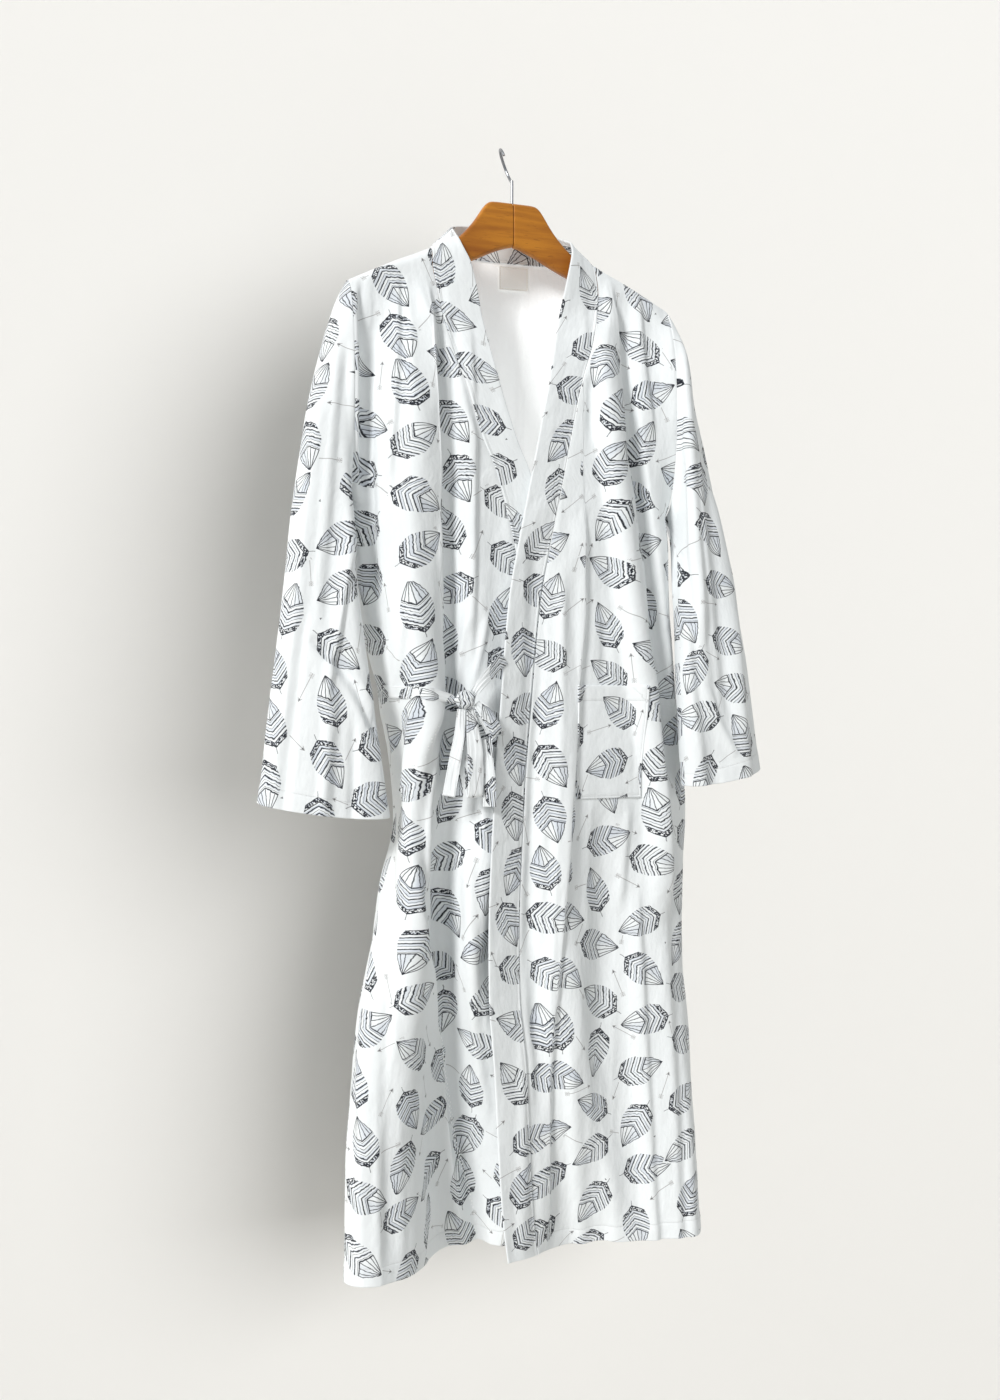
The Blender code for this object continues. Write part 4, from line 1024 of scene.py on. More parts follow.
def drop_shares(count: int) -> Array:
    """Shares down a body panel, close together over the shoulder and at the hem."""
    top = np.array([0.0, 0.0006, 0.0016, 0.0029, 0.0045, 0.0065, 0.0090, 0.0120, 0.0155, 0.0195])
    return np.concatenate([top, np.linspace(0.0235, 0.9935, count), [0.9958, 0.9974, 0.9988, 0.9996, 1.0]])


def seam_pull(away: Array) -> Array:
    """How far the cloth is drawn in beside a seam."""
    return 0.0005 * groove(away, 0.0020)


def smooth_rows(values: Array) -> Array:
    """A column of values with its small steps evened out."""
    reach = 12
    padded = np.concatenate([np.repeat(values[:1], reach, 0), values, np.repeat(values[-1:], reach, 0)])
    kernel = np.ones(2 * reach + 1) / (2 * reach + 1)
    return np.convolve(padded[:, 0], kernel, "valid")[:, None]


def hem_relief(away: Array, turn: float) -> Array:
    """Soft step of a turned hem, with the dip of its stitches and its rounded edge."""
    step, edge = 1.0 - ease((away - turn) / 0.0015), 1.0 - round_in(away / 0.0012)
    return HEM_STEP * (step - groove(away - turn + HEM_STITCH, 0.0016) - edge)


def round_corner(share: Array, z: Array, only: Array | float = 1.0) -> tuple[Array, Array]:
    """How far the cloth has gone round the corner beside its side seam.

    Args:
        share: 0 at the seam, 1 past the corner.
        z: heights; above the armhole's foot the corner is flat.
        only: 0 where the corner stays flat across.

    Returns:
        Shares gone across and in depth.
    """
    rounding = ease((ARM_LOW + 0.05 - z) / 0.09)
    f = np.clip(share, 0.0, 1.0)
    turn, across = 0.5 * math.pi * f, rounding * only
    return (1 - across) * f + across * (1 - np.cos(turn)), (1 - rounding) * ease(f) + rounding * np.sin(turn)


@dataclass
class Panel:
    """A hemmed piece of the robe and what its flat cut measures.

    start is the place of its cut on the printed cloth, in metres.
    """

    name: str
    cut_size: tuple[float, float]
    cut_area: float
    start: tuple[float, float]

    def hang(self, finishes: Finishes, outer: Array, normal: Array, cut: Array, run: Array,
             from_hem: Array, turn: float, mark: int, rest: str, wrap: bool = False) -> Thing:
        """Make the cloth, doubled and printed inside where its hem is turned in.

        Args:
            finishes: the shared materials.
            outer: points of the outer face.
            normal: its directions.
            cut: places on the flat cloth.
            run: length along the hem's stitches.
            from_hem: distance from the hem.
            turn: depth of the turned hem.
            mark: column that tells which rows are turned in.
            rest: the piece that carries this one; not used.
            wrap: whether the cloth closes on itself.

        Returns:
            The finished piece.
        """
        doubled = from_hem[:, :outer.shape[1]] < turn
        stitch = beside(from_hem - turn + HEM_STITCH, run)
        sheet = ClothSheet(self.name, outer, normal, cut, stitch, CLOTH + HEM_STEP * doubled, wrap,
                           doubled[:-1, mark])
        piece = settle(sheet.build(finishes.cloth()), "printed_cotton", self.name.replace("robe_", ""))
        return piece


@dataclass
class FrontPanel(Panel):
    """One front of the robe, from the side seam to the neck band."""

    side: Side
    edge: Table
    folds: tuple[Table, ...]
    tuck: float = 0.0
    plumb_x: float = 0.12
    columns: int = 96
    rows: int = 285

    def section(self, share: Array, z: Array, below: Array) -> tuple[Array, Array]:
        """x and y of the outer face; share 0 at the side seam, 1 at the free edge."""
        sign = self.side.value
        side_x, side_y = side_line(z, sign, -1)
        edge_x, edge_y, near_y = (column(self.edge, k, z) for k in (1, 2, 3))
        corner_x = side_x - sign * CORNER
        go_x, go_y = round_corner(share / CORNER_SHARE, z)
        flat = (share - CORNER_SHARE) / (1 - CORNER_SHARE)
        near = share < CORNER_SHARE
        x = np.where(near, side_x + (corner_x - side_x) * go_x, corner_x + (edge_x - corner_x) * flat)
        full = -np.where(near, side_y + (near_y - side_y) * go_y, near_y + (edge_y - near_y) * flat)
        settled = ease(below / 0.17)
        y = -(RIDGE_R * round_in(below / RIDGE_R) + (full - RIDGE_R) * settled)
        y = y - (full + y) * ease(1.0 - share / FIT_SHARE) * ease(below / FIT_DROP)
        y = y - fold_sum(self.folds, share, z) * ease(share / 0.10)
        return x, y - 0.5 * GAP * (1.0 - settled)

    def seam_share(self, z: Array) -> Array:
        """Share at which the neck band is sewn on."""
        corner_x = side_line(z, self.side.value, -1)[0] - self.side.value * CORNER
        wide = column(BAND_WIDTH, 1, z) / np.abs(column(self.edge, 1, z) - corner_x)
        return CORNER_SHARE + (1 - CORNER_SHARE) * (1.0 - wide)

    def surface(self, across: Array, down: Array) -> Array:
        """Points of the plain outer face; across 0 at the side seam, 1 at the band seam."""
        sign = self.side.value
        top_x = sign * (TIP_X + (NECK_X - TIP_X) * smooth([0.0, 0.2, 1.0], [0.0, 0.24, 1.0], across))
        top_z = shoulder(top_x)
        z = top_z + (HEM_Z - top_z) * down
        x, y = self.section(across * self.seam_share(np.minimum(z, -0.14)), z, top_z - z)
        return beside(top_x + (x - top_x) * ease((top_z - z) / 0.05), y, z)

    def creased(self, share: Array, z: Array, quiet: Array | float = 1.0) -> Array:
        """Points of the creased outer face below the chest, for what lies on it."""
        points = beside(*self.section(share, z, np.full_like(z, 0.5)), z)
        points[..., 1] -= relief(points, FRONT_CREASES, Facing.FRONT) * quiet
        return points

    def share_at(self, x: Array, z: Array) -> Array:
        """Share across the front at a place past its side's rounding."""
        corner_x = side_line(z, self.side.value, -1)[0] - self.side.value * CORNER
        return CORNER_SHARE + (1 - CORNER_SHARE) * (corner_x - x) / (corner_x - column(self.edge, 1, z))

    def build(self, finishes: Finishes) -> Thing:
        """Make the panel with its creases, hem and seams; the print jumps by tuck at the pressed line."""
        points = self.surface(*np.meshgrid(close_shares(self.columns, 0.30), drop_shares(self.rows)))
        normal = facing_y(grid_normals(points), -1)
        run, fall = run_lengths(points, 1, (0, 1)), run_lengths(points, 0, (1, 2))
        from_seam, from_hem = np.minimum(run, run[:, -1:] - run), fall[-1:] - fall
        lift = relief(points, FRONT_CREASES, Facing.FRONT)
        lift += 0.0008 * ripple(run, fall, 0.085, self.start[0] * 7)
        lift += 0.0003 * ripple(run, fall, 0.030, self.start[1] * 5)
        lift *= ease(np.minimum(from_seam / 0.012, fall / 0.03))
        lift += hem_relief(from_hem, HEM_TURN) - seam_pull(from_seam) - seam_pull(fall)
        across, down = seen(points)
        jump = self.tuck * ease((across - PRESSED_LINE.middle(down)) / 0.003 + 0.5)
        plumb = np.abs(points[..., 0] - self.side.value * self.plumb_x).argmin(axis=1)[:, None]
        plain = run - smooth_rows(np.take_along_axis(run, plumb, axis=1))
        cut = beside(plain + self.start[0] + jump, fall - points[:1, :, 2] + self.start[1])
        return self.hang(finishes, raised(points, normal, lift, 2), normal, cut, run, from_hem, HEM_TURN, 40,
                         "hanger_wood")


@dataclass
class BackPanel(Panel):
    """The one-piece back, from shoulder seams to hem."""

    name: str = "robe_back_panel"
    cut_size: tuple[float, float] = (0.65, 1.22)
    cut_area: float = 0.61
    start: tuple[float, float] = (2.11, 0.43)
    columns: int = 116
    rows: int = 230

    def surface(self, across: Array, down: Array) -> Array:
        """Points of the plain outer face; across 0 at the right side seam, 1 at the left."""
        top_x = TIP_X * (2.0 * across - 1.0)
        side_z = float(shoulder(NECK_X))
        neck = np.abs(top_x) < NECK_X
        lean = np.where(neck, np.sqrt(np.maximum(0.0, 1.0 - (top_x / NECK_X) ** 2)), 0.0)
        top_z = np.where(neck, side_z + (NAPE_Z - side_z) * lean, shoulder(top_x))
        z = top_z + (HEM_Z - top_z) * down
        below = top_z - z

        left = across >= 0.5
        (right_x, right_y), (left_x, left_y) = side_line(z, -1, 1), side_line(z, 1, 1)
        side_x, side_y = np.where(left, left_x, right_x), np.where(left, left_y, right_y)
        near_y = np.where(left, column(BACK, 3, z), column(BACK, 2, z))
        corner_x = side_x - np.where(left, 1.0, -1.0) * CORNER
        reach, corner_share = 0.5 - np.abs(across - 0.5), 0.5 * CORNER_SHARE
        go_x, go_y = round_corner(reach / corner_share, z, left)
        flat = np.clip((reach - corner_share) / (0.5 - corner_share), 0.0, 1.0)
        near = reach < corner_share
        x = np.where(near, side_x + (corner_x - side_x) * go_x,
                     corner_x + (0.5 * (right_x + left_x) - corner_x) * flat)
        full = np.where(near, side_y + (near_y - side_y) * go_y,
                        near_y + (column(BACK, 1, z) - near_y) * np.sin(0.5 * math.pi * flat) ** 1.4)

        settled = ease(below / 0.15)
        y = NAPE_Y * lean + RIDGE_R * round_in(below / RIDGE_R) * (1.0 - lean)
        y = y + (full - y) * settled
        y = y + (full - y) * ease(1.0 - 2.0 * reach / FIT_SHARE) * ease(below / FIT_DROP)
        y = y + fold_sum(BACK_FOLDS, across, z) * ease(reach / 0.05)
        return beside(top_x + (x - top_x) * ease(below / 0.12), y + 0.5 * GAP * (1.0 - settled), z)

    def build(self, finishes: Finishes) -> Thing:
        """Make the panel with its creases, hem and seams."""
        points = self.surface(*np.meshgrid(close_shares(self.columns, 0.46), drop_shares(self.rows)))
        normal = facing_y(grid_normals(points), 1)
        run, fall = run_lengths(points, 1, (0, 1)), run_lengths(points, 0, (1, 2))
        from_seam, from_hem = np.minimum(run, run[:, -1:] - run), fall[-1:] - fall
        lift = relief(points, BACK_CREASES, Facing.BACK) + 0.0008 * ripple(run, fall, 0.095, 3.3)
        lift *= ease(np.minimum(from_seam / 0.02, fall / 0.05))
        lift += hem_relief(from_hem, HEM_TURN) - seam_pull(from_seam) - seam_pull(fall)
        middle = run[:, [run.shape[1] // 2]]
        cut = beside(run - middle + self.start[0], fall - points[:1, :, 2] + self.start[1])
        return self.hang(finishes, raised(points, normal, lift, 2), normal, cut, run, from_hem, HEM_TURN, 60,
                         "hanger_wood")


@dataclass
class Sleeve(Panel):
    """A straight kimono sleeve, a flattened tube with an open cuff."""

    side: Side
    lines: Table
    columns: int = 150
    rows: int = 135

    def surface(self, share: Array, turn: Array) -> Array:
        """Points of the plain outer face; turn 0 at the outer fold, a quarter turn at the front."""
        top, low = (beside(*(column(self.lines, k, share) for k in places))
                    for places in ((1, 2, 3), (4, 5, 6)))
        reach = 0.5 * (top - low)
        lean = beside(np.full_like(share, float(self.side.value)), 0.0 * share, -1.6 * share)
        front = np.cross(reach, lean)
        front = unit(front * np.where(front[..., 1:2] > 0, -1.0, 1.0))
        ahead = np.array([0.0, -1.0, 0.0])
        front = ahead + (front - ahead) * ease(share / 0.03)[..., None]
        sine = np.sin(turn)
        crease = 1.0 - 0.30 * share * groove(turn - 1.9, 0.32)
        crease = crease - 0.34 * np.minimum(1.0, 3 * share) * groove(turn - 4.3, 0.40)
        out = np.abs(sine) ** 0.9 * np.sign(sine) * column(self.lines, 7, share) * crease
        points = 0.5 * (top + low) + reach * np.cos(turn)[..., None] + front * out[..., None]
        points[..., 2] -= CUFF_SAG * np.maximum(0.0, sine) * ease((share - 0.8) / 0.2)
        return points

    def flat_places(self, closed: Array) -> Array:
        """Metres across the flat sleeve from its outer fold, and down along that fold."""
        fold = closed.shape[1] // 2
        down = unit(closed[-1, fold] - closed[0, fold])
        step = np.diff(closed, axis=1)
        step = step - (step @ down)[..., None] * down
        run = np.cumsum(np.linalg.norm(step, axis=2), axis=1)
        run = np.concatenate([np.zeros((len(run), 1)), run], axis=1)
        return beside(run - run[:, fold:fold + 1], closed @ down - closed[0, fold] @ down)

    def build(self, finishes: Finishes) -> Thing:
        """Make the sleeve with its creases, cuff and seams."""
        shares = np.concatenate([[0.0, 0.0012, 0.003, 0.006, 0.010, 0.015],
                                 np.linspace(0.022, 0.990, self.rows),
                                 [0.9935, 0.9962, 0.9982, 0.9994, 1.0]])
        turns = math.pi + np.linspace(0.0, 2.0 * math.pi, self.columns + 1)
        share, turn = np.meshgrid(shares, turns, indexing="ij")
        closed = self.surface(share, np.mod(turn, 2.0 * math.pi))
        points = closed[:, :-1]
        normal = outward(grid_normals(points, wrap=True), points)
        run, fall = run_lengths(closed, 1), run_lengths(closed, 0)
        fall = np.broadcast_to(fall.mean(axis=1, keepdims=True), run.shape)
        from_cuff, from_top = fall[-1:] - fall, fall[:, :-1]
        lift = relief(points, SLEEVE_CREASES, Facing.FRONT) * ease(-2.2 * normal[..., 1])
        lift += relief(points, SLEEVE_BACK_CREASES, Facing.BACK) * ease(2.2 * normal[..., 1])
        lift += 0.0008 * ripple(points[..., 0], points[..., 2], 0.080, self.start[0] * 3)
        lift = lift * ease(from_top / 0.03) + hem_relief(from_cuff[:, :-1], CUFF_TURN) - seam_pull(from_top)
        return self.hang(finishes, raised(points, normal, lift, 0), normal,
                         self.flat_places(closed) + np.array(self.start), run, from_cuff, CUFF_TURN, 0,
                         "robe_front_right", wrap=True)


@dataclass
class NeckBand:
    """The doubled band, from hem to neck to hem, with the fronts' seams as its own."""

    right: FrontPanel
    left: FrontPanel
    cut_size: tuple[float, float] = (0.050, 2.70)
    start: tuple[float, float] = (0.31, 1.07)
    stitch_in: float = 0.0040
    rows: int = 285
    across: int = 15

    def half(self, panel: FrontPanel) -> tuple[Array, Array, Array]:
        """Seam line, free edge and outward directions of one half, from the neck to the hem."""
        down = drop_shares(self.rows)[1:]
        seam = panel.surface(np.ones_like(down), down)
        below = float(shoulder(NECK_X)) - seam[:, 2]
        z = seam[:, 2] + BAND_LIFT * (1.0 - ease(below / BAND_LIFT_RUN))
        x, y = column(panel.edge, 1, z), column(panel.edge, 2, z)
        plain = panel.section(np.ones_like(z), seam[:, 2], below)[1]
        square = np.cross(np.gradient(seam, axis=0), seam - panel.surface(np.full_like(down, 0.985), down))
        return (seam, beside(x, y + (plain - y) * ease(below / 0.10), z),
                unit(square * np.where(square[:, 1:2] > 0, -1.0, 1.0)))

    def neck(self) -> tuple[Array, Array, Array]:
        """Seam line, free edge and outward directions round the back neck."""
        a = np.radians(np.linspace(-90.0, 90.0, 90))
        side_z = float(shoulder(NECK_X))
        sine, cosine = np.sin(a), np.cos(a)
        return (beside(NECK_X * sine, NAPE_Y * cosine, side_z + (NAPE_Z - side_z) * cosine),
                beside(BAND_TOP_X * sine, BAND_TOP_Y * cosine,
                       BAND_TOP_SIDE + (BAND_TOP_NAPE - BAND_TOP_SIDE) * cosine),
                unit(beside(sine, cosine, np.full_like(a, 0.9))))

    def build(self, finishes: Finishes) -> Thing:
        """Make the band, rounded at its fold and drawn in at its seam."""
        runs = zip(self.half(self.right), self.neck(), self.half(self.left))
        seam, edge, square = (np.concatenate([one[::-1], neck, other]) for one, neck, other in runs)
        reach = edge - seam
        reach = reach - square * np.sum(reach * square, axis=1, keepdims=True)
        start = seam + 3.0 * GAP * unit(reach)
        go = close_shares(self.across, 0.045)[None, :, None]
        points = start[:, None] + (edge - start)[:, None] * go
        normal = grid_normals(points)
        if normal[len(points) // 2, 6, 1] < 0:
            normal = -normal
        blend = ease(go / 0.5)
        normal = unit(square[:, None] * (1.0 - blend) + normal * blend)
        from_seam = run_lengths(points, 1)
        from_fold = from_seam[:, -1:] - from_seam
        fall = np.broadcast_to(run_lengths(points, 0)[:, [points.shape[1] // 2]], from_seam.shape)
        quiet = ease(np.minimum(from_seam, from_fold) / 0.010)
        lift = relief(points, FRONT_CREASES, Facing.FRONT) * (0.4 + 0.3 * quiet)
        lift *= ease((-0.13 - points[..., 2]) / 0.05)
        lift += 0.0006 * ripple(from_seam, fall, 0.060, 5.1) * quiet
        lift += 0.0003 * ripple(fall, from_seam, 0.024, 2.2) * quiet
        sink = 0.5 * BAND_WALL * (1.0 - round_in(from_fold / 0.0022))
        sink = sink + 0.35 * BAND_WALL * (1.0 - round_in(from_seam / 0.0016))
        pinch = 0.0005 * groove(from_seam - self.stitch_in, 0.0014)
        sheet = ClothSheet("robe_neck_band", raised(points, normal, lift - sink - pinch), normal,
                           beside(from_seam, fall) + np.array(self.start),
                           beside(from_seam - self.stitch_in, fall), BAND_WALL - 2.0 * sink - pinch)
        piece = settle(sheet.build(finishes.doubled()), "printed_cotton", "neck_band")
        return piece


@dataclass
class PatchPocket:
    """Small patch pocket sewn on the over front, its mouth a little open."""

    panel: FrontPanel
    top: float = -0.640
    low: float = -0.775
    near: float = 0.060
    far: float = 0.152
    mouth_hem: float = 0.018
    edge_sewn: float = 0.003
    gape: float = 0.0016
    start: tuple[float, float] = (0.47, 0.29)

    def build(self, finishes: Finishes) -> Thing:
        """Make the pocket on the creased front."""
        x, z = np.meshgrid(close_shares(34, 0.092) * (self.near - self.far) + self.far,
                           close_shares(46, 0.135) * (self.low - self.top) + self.top)
        base = self.panel.creased(self.panel.share_at(x, z), z)
        normal = facing_y(grid_normals(base), -1)
        u, v = run_lengths(base, 1), run_lengths(base, 0)
        side, foot = np.minimum(u, u[:, -1:] - u), v[-1:] - v
        from_edge = np.minimum(side, foot)
        from_sewn, from_hem = from_edge - self.edge_sewn, v - self.mouth_hem
        lift = 0.0023 + 0.0004 * ripple(u, v, 0.035, 1.9)
        lift += self.gape * bell(v / 0.030) * np.sin(math.pi * np.clip(u / u[:, -1:], 0.0, 1.0))
        lift -= 0.0006 * (1.0 - round_in(from_edge / 0.0014)) + 0.0005 * (1.0 - round_in(v / 0.0012))
        lift -= 0.0004 * (groove(from_sewn, 0.0014) + groove(from_hem, 0.0014))
        at_edge = np.abs(from_sewn) < np.abs(from_hem)
        stitch = beside(np.where(at_edge, from_sewn, from_hem), np.where(at_edge & (side < foot), v, u))
        sheet = ClothSheet("robe_patch_pocket", raised(base, normal, lift), normal,
                           beside(u, v) + np.array(self.start), stitch, 0.0011)
        piece = settle(sheet.build(finishes.cloth()), "printed_cotton", "pocket_left")
        return piece


def tie_sheet(name: str, points: Array, lift: Array, u: Array, v: Array, start: tuple[float, float],
              normal: Array) -> ClothSheet:
    """The doubled cloth of a tie, thin at its sewn edges; u and v are its flat places."""
    edge = np.minimum(u, TIE_WIDE - u)
    sink = 0.5 * TIE_WALL * (1.0 - round_in(edge / 0.0016))
    return ClothSheet(name, raised(points, normal, lift - sink), normal, beside(u, v) + np.array(start),
                      beside(edge - TIE_SEWN, v), TIE_WALL - 2.0 * sink)


@dataclass
class Strap:
    """A flat self-fabric tie along rows of x, y, z and half width, pleated where the knot grips it."""

    name: str
    node: str
    path: Table
    across: tuple[float, float, float]
    start: tuple[float, float]
    grip: tuple[float, float] = (1.0, 0.0)
    columns: int = 14

    def line(self) -> tuple[Array, Array]:
        """Fine centre line and half widths."""
        path = np.array(self.path)
        span = np.linspace(0.0, 1.0, len(path))
        fine = np.linspace(0.0, 1.0, 24 * (len(path) - 1) + 1)
        line = beside(*(smooth(span, path[:, k], fine) for k in range(3)))
        kernel = np.ones(9) / 9.0
        line[4:-4] = beside(*(np.convolve(line[:, k], kernel, "valid") for k in range(3)))
        return line, smooth(span, path[:, 3], fine)

    def build(self, finishes: Finishes) -> Thing:
        """Make the tie."""
        line, half = self.line()
        run = unit(np.gradient(line, axis=0))
        wide = unit(np.array(self.across) - run * (run @ np.array(self.across))[:, None])
        go = (2.0 * close_shares(self.columns, 0.018) - 1.0)[None, :, None]
        points = line[:, None] + wide[:, None] * half[:, None, None] * go
        normal = grid_normals(points)
        u = np.broadcast_to((go[..., 0] + 1.0) * 0.5 * TIE_WIDE, points.shape[:2])
        length = np.concatenate([[0.0], np.cumsum(np.linalg.norm(np.diff(line, axis=0), axis=1))])
        v = np.broadcast_to(length[:, None], u.shape)
        gripped = 0.35 + self.grip[0] * np.exp(-v / 0.016) + self.grip[1] * np.exp(-(v[-1:] - v) / 0.016)
        wave = 2.0 * np.sin(v / 0.011 + self.start[0])
        lift = 0.0009 * gripped * np.cos(3.0 * math.pi * go[..., 0] + wave)
        lift += 0.0004 * ripple(u, v, 0.020, self.start[0] * 9)
        sheet = tie_sheet(self.name, points, lift, u, v, self.start, normal)
        piece = settle(sheet.build(finishes.doubled()), "printed_cotton", self.node)
        long, area = max(0.03, float(length[-1])), float(2.0 * half.mean() * length[-1])
        return piece


@dataclass
class SideTie:
    """The tie that leaves the right side seam and crosses the under front to the knot."""

    panel: FrontPanel
    end: tuple[float, float, float]
    half: float = 0.0072
    level: float = -0.6470
    lift: float = 0.0023
    free_from: float = 0.68
    start: tuple[float, float] = (0.13, 0.52)

    def build(self, finishes: Finishes) -> Thing:
        """Make the tie on the creased front, free of it near the knot."""
        go, run = np.meshgrid(2.0 * close_shares(14, 0.02) - 1.0, np.linspace(0.0, 1.0, 90), indexing="xy")
        on_cloth = np.clip(run / self.free_from, 0.0, 1.0)
        share = 0.04 + 0.16 * on_cloth
        z = self.level - 0.004 * on_cloth + go * self.half
        base = self.panel.creased(share, z, ease((share - 0.04) / 0.03))
        outer = base + facing_y(grid_normals(base), -1) * self.lift
        free = ease((run - self.free_from) / (1.0 - self.free_from))
        target = np.array(self.end) + beside(0.0 * go, 0.0 * go, 0.72 * go * self.half)
        last = outer[61:62]
        outer = np.where(run[..., None] > self.free_from, last + (target - last) * free[..., None], outer)
        normal = facing_y(grid_normals(outer), -1)
        u, v = (go + 1.0) * 0.5 * TIE_WIDE, run_lengths(outer, 0)
        lift = 0.0008 * np.exp(-(v[-1:] - v) / 0.014) * np.cos(3.0 * math.pi * go)
        sheet = tie_sheet("robe_side_tie", outer, lift, u, v, self.start, normal)
        piece = settle(sheet.build(finishes.doubled()), "printed_cotton", "tie_side")
        return piece


@dataclass
class Bow:
    """The tied bow: knot, loops and tails, hanging from the two ties."""

    knot: tuple[float, float, float] = (-0.0865, -0.0735, -0.6570)
    size: tuple[float, float, float] = (0.0125, 0.0070, 0.0110)
    rings: int = 33
    turns: int = 48
    strands: tuple[Strap, ...] = (
        Strap("robe_edge_tie", "tie_edge", thousandths(
            (-36.5, -63.6, -609, 9.5), (-51.5, -69, -622.5, 7.8), (-69, -73.8, -640, 6),
            (-76.3, -73.5, -649.6, 5)), (0.0, 0.0, 1.0), (0.63, 0.11), (0.0, 1.0)),
        Strap("robe_bow_loop", "bow_loop", thousandths(
            (-73.7, -74, -661, 5), (-64, -79, -672, 8), (-53, -80, -689, 8.5), (-48.5, -76.5, -699, 8.5),
            (-53, -72.5, -696, 8), (-61, -70.5, -682, 7), (-70, -70, -672.5, 5)),
              (0.6, 0.2, 0.75), (0.77, 0.35), (1.0, 1.0)),
        Strap("robe_hanging_loop", "hanging_loop", thousandths(
            (-80.9, -73.5, -667.8, 4.5), (-78.5, -76, -690, 7.5), (-75.5, -77, -725, 9.5),
            (-74.5, -74.5, -764, 9), (-74.5, -70, -769, 8.8), (-76.5, -67.5, -760, 8.5), (-79, -66.8, -720, 7)),
              (1.0, 0.0, 0.1), (0.91, 0.57), (1.0, 0.5)),
        Strap("robe_tail_right", "tail_right", thousandths(
            (-92.1, -73.5, -667.8, 4.5), (-94, -73.5, -695, 6), (-98.5, -71, -725, 7),
            (-105.5, -69, -767, 7.5)),
              (1.0, -0.5, 0.0), (1.05, 0.15)),
        Strap("robe_tail_left", "tail_left", thousandths(
            (-60, -72.5, -702.4, 5.5), (-59, -73.5, -730, 6.5), (-57.5, -73.5, -755, 7.5),
            (-57, -72.5, -780, 7.5)),
              (1.0, -0.4, 0.0), (1.19, 0.73)),
    )

    def build_knot(self, finishes: Finishes) -> Thing:
        """Make the knot, a wrapped lump of pleated tie."""
        a, b = np.meshgrid(np.linspace(0.06, math.pi - 0.06, self.rings),
                           np.linspace(0.0, 2.0 * math.pi, self.turns + 1)[:-1], indexing="ij")
        wrap = 1.0 + 0.06 * np.cos(3 * b + 2 * a) + 0.05 * np.cos(9 * a + 2.0 * np.cos(b)) * np.sin(a)
        wrap = wrap - 0.10 * groove(a - 1.5 - 0.35 * np.cos(b), 0.16)
        out = np.sin(a) * wrap
        lump = beside(out * np.cos(b), out * np.sin(b), np.cos(a)) * np.array(self.size)
        normal = outward(grid_normals(lump, wrap=True), lump)
        cut = beside(*np.meshgrid(np.linspace(0.20, 0.275, self.turns + 1), 0.84 + 0.012 * np.cos(a[:, 0])))
        sheet = ClothSheet("robe_bow_knot", lump + np.array(self.knot), normal, cut, np.full_like(cut, 1.0),
                           0.0016, wrap=True)
        return settle(sheet.build(finishes.doubled()), "printed_cotton", "bow_knot")

    def build(self, finishes: Finishes) -> None:
        """Make the knot and its strands."""
        knot = self.build_knot(finishes)
        for strand in self.strands:
            strand.build(finishes)


@dataclass
class NeckLabel:
    """Blank woven label sewn inside the back neck."""

    back: BackPanel
    wide: float = 0.038
    top: float = -0.1255
    low: float = -0.1550
    away: float = 0.0030
    sewn: float = 0.0018

    def build(self, finishes: Finishes) -> Thing:
        """Make the label on the inner face of the back."""
        x, z = np.meshgrid(close_shares(18, 0.038) * self.wide,
                           close_shares(14, 0.030) * (self.low - self.top) + self.top)
        across = 0.5 + 0.5 * x / TIP_X
        for _ in range(8):
            head = self.back.surface(across, np.zeros_like(across))[..., 2]
            point = self.back.surface(across, (head - z) / (head - HEM_Z))
            across = across + 0.5 * (x - point[..., 0]) / TIP_X
        base = beside(x, point[..., 1] - self.away, z)
        normal = facing_y(grid_normals(base), -1)
        u, v = run_lengths(base, 1), run_lengths(base, 0)
        from_sewn = np.minimum(np.minimum(u, u[:, -1:] - u), np.minimum(v, v[-1:] - v)) - self.sewn
        lift = 0.0003 * ripple(u, v, 0.018, 1.1) - 0.0003 * groove(from_sewn, 0.0009)
        sheet = ClothSheet("robe_blank_label", raised(base, normal, lift), normal, beside(u, v),
                           beside(from_sewn, u + v), 0.0006)
        piece = settle(sheet.build((finishes.label, finishes.label)), "label_weave", "neck_label")
        return piece


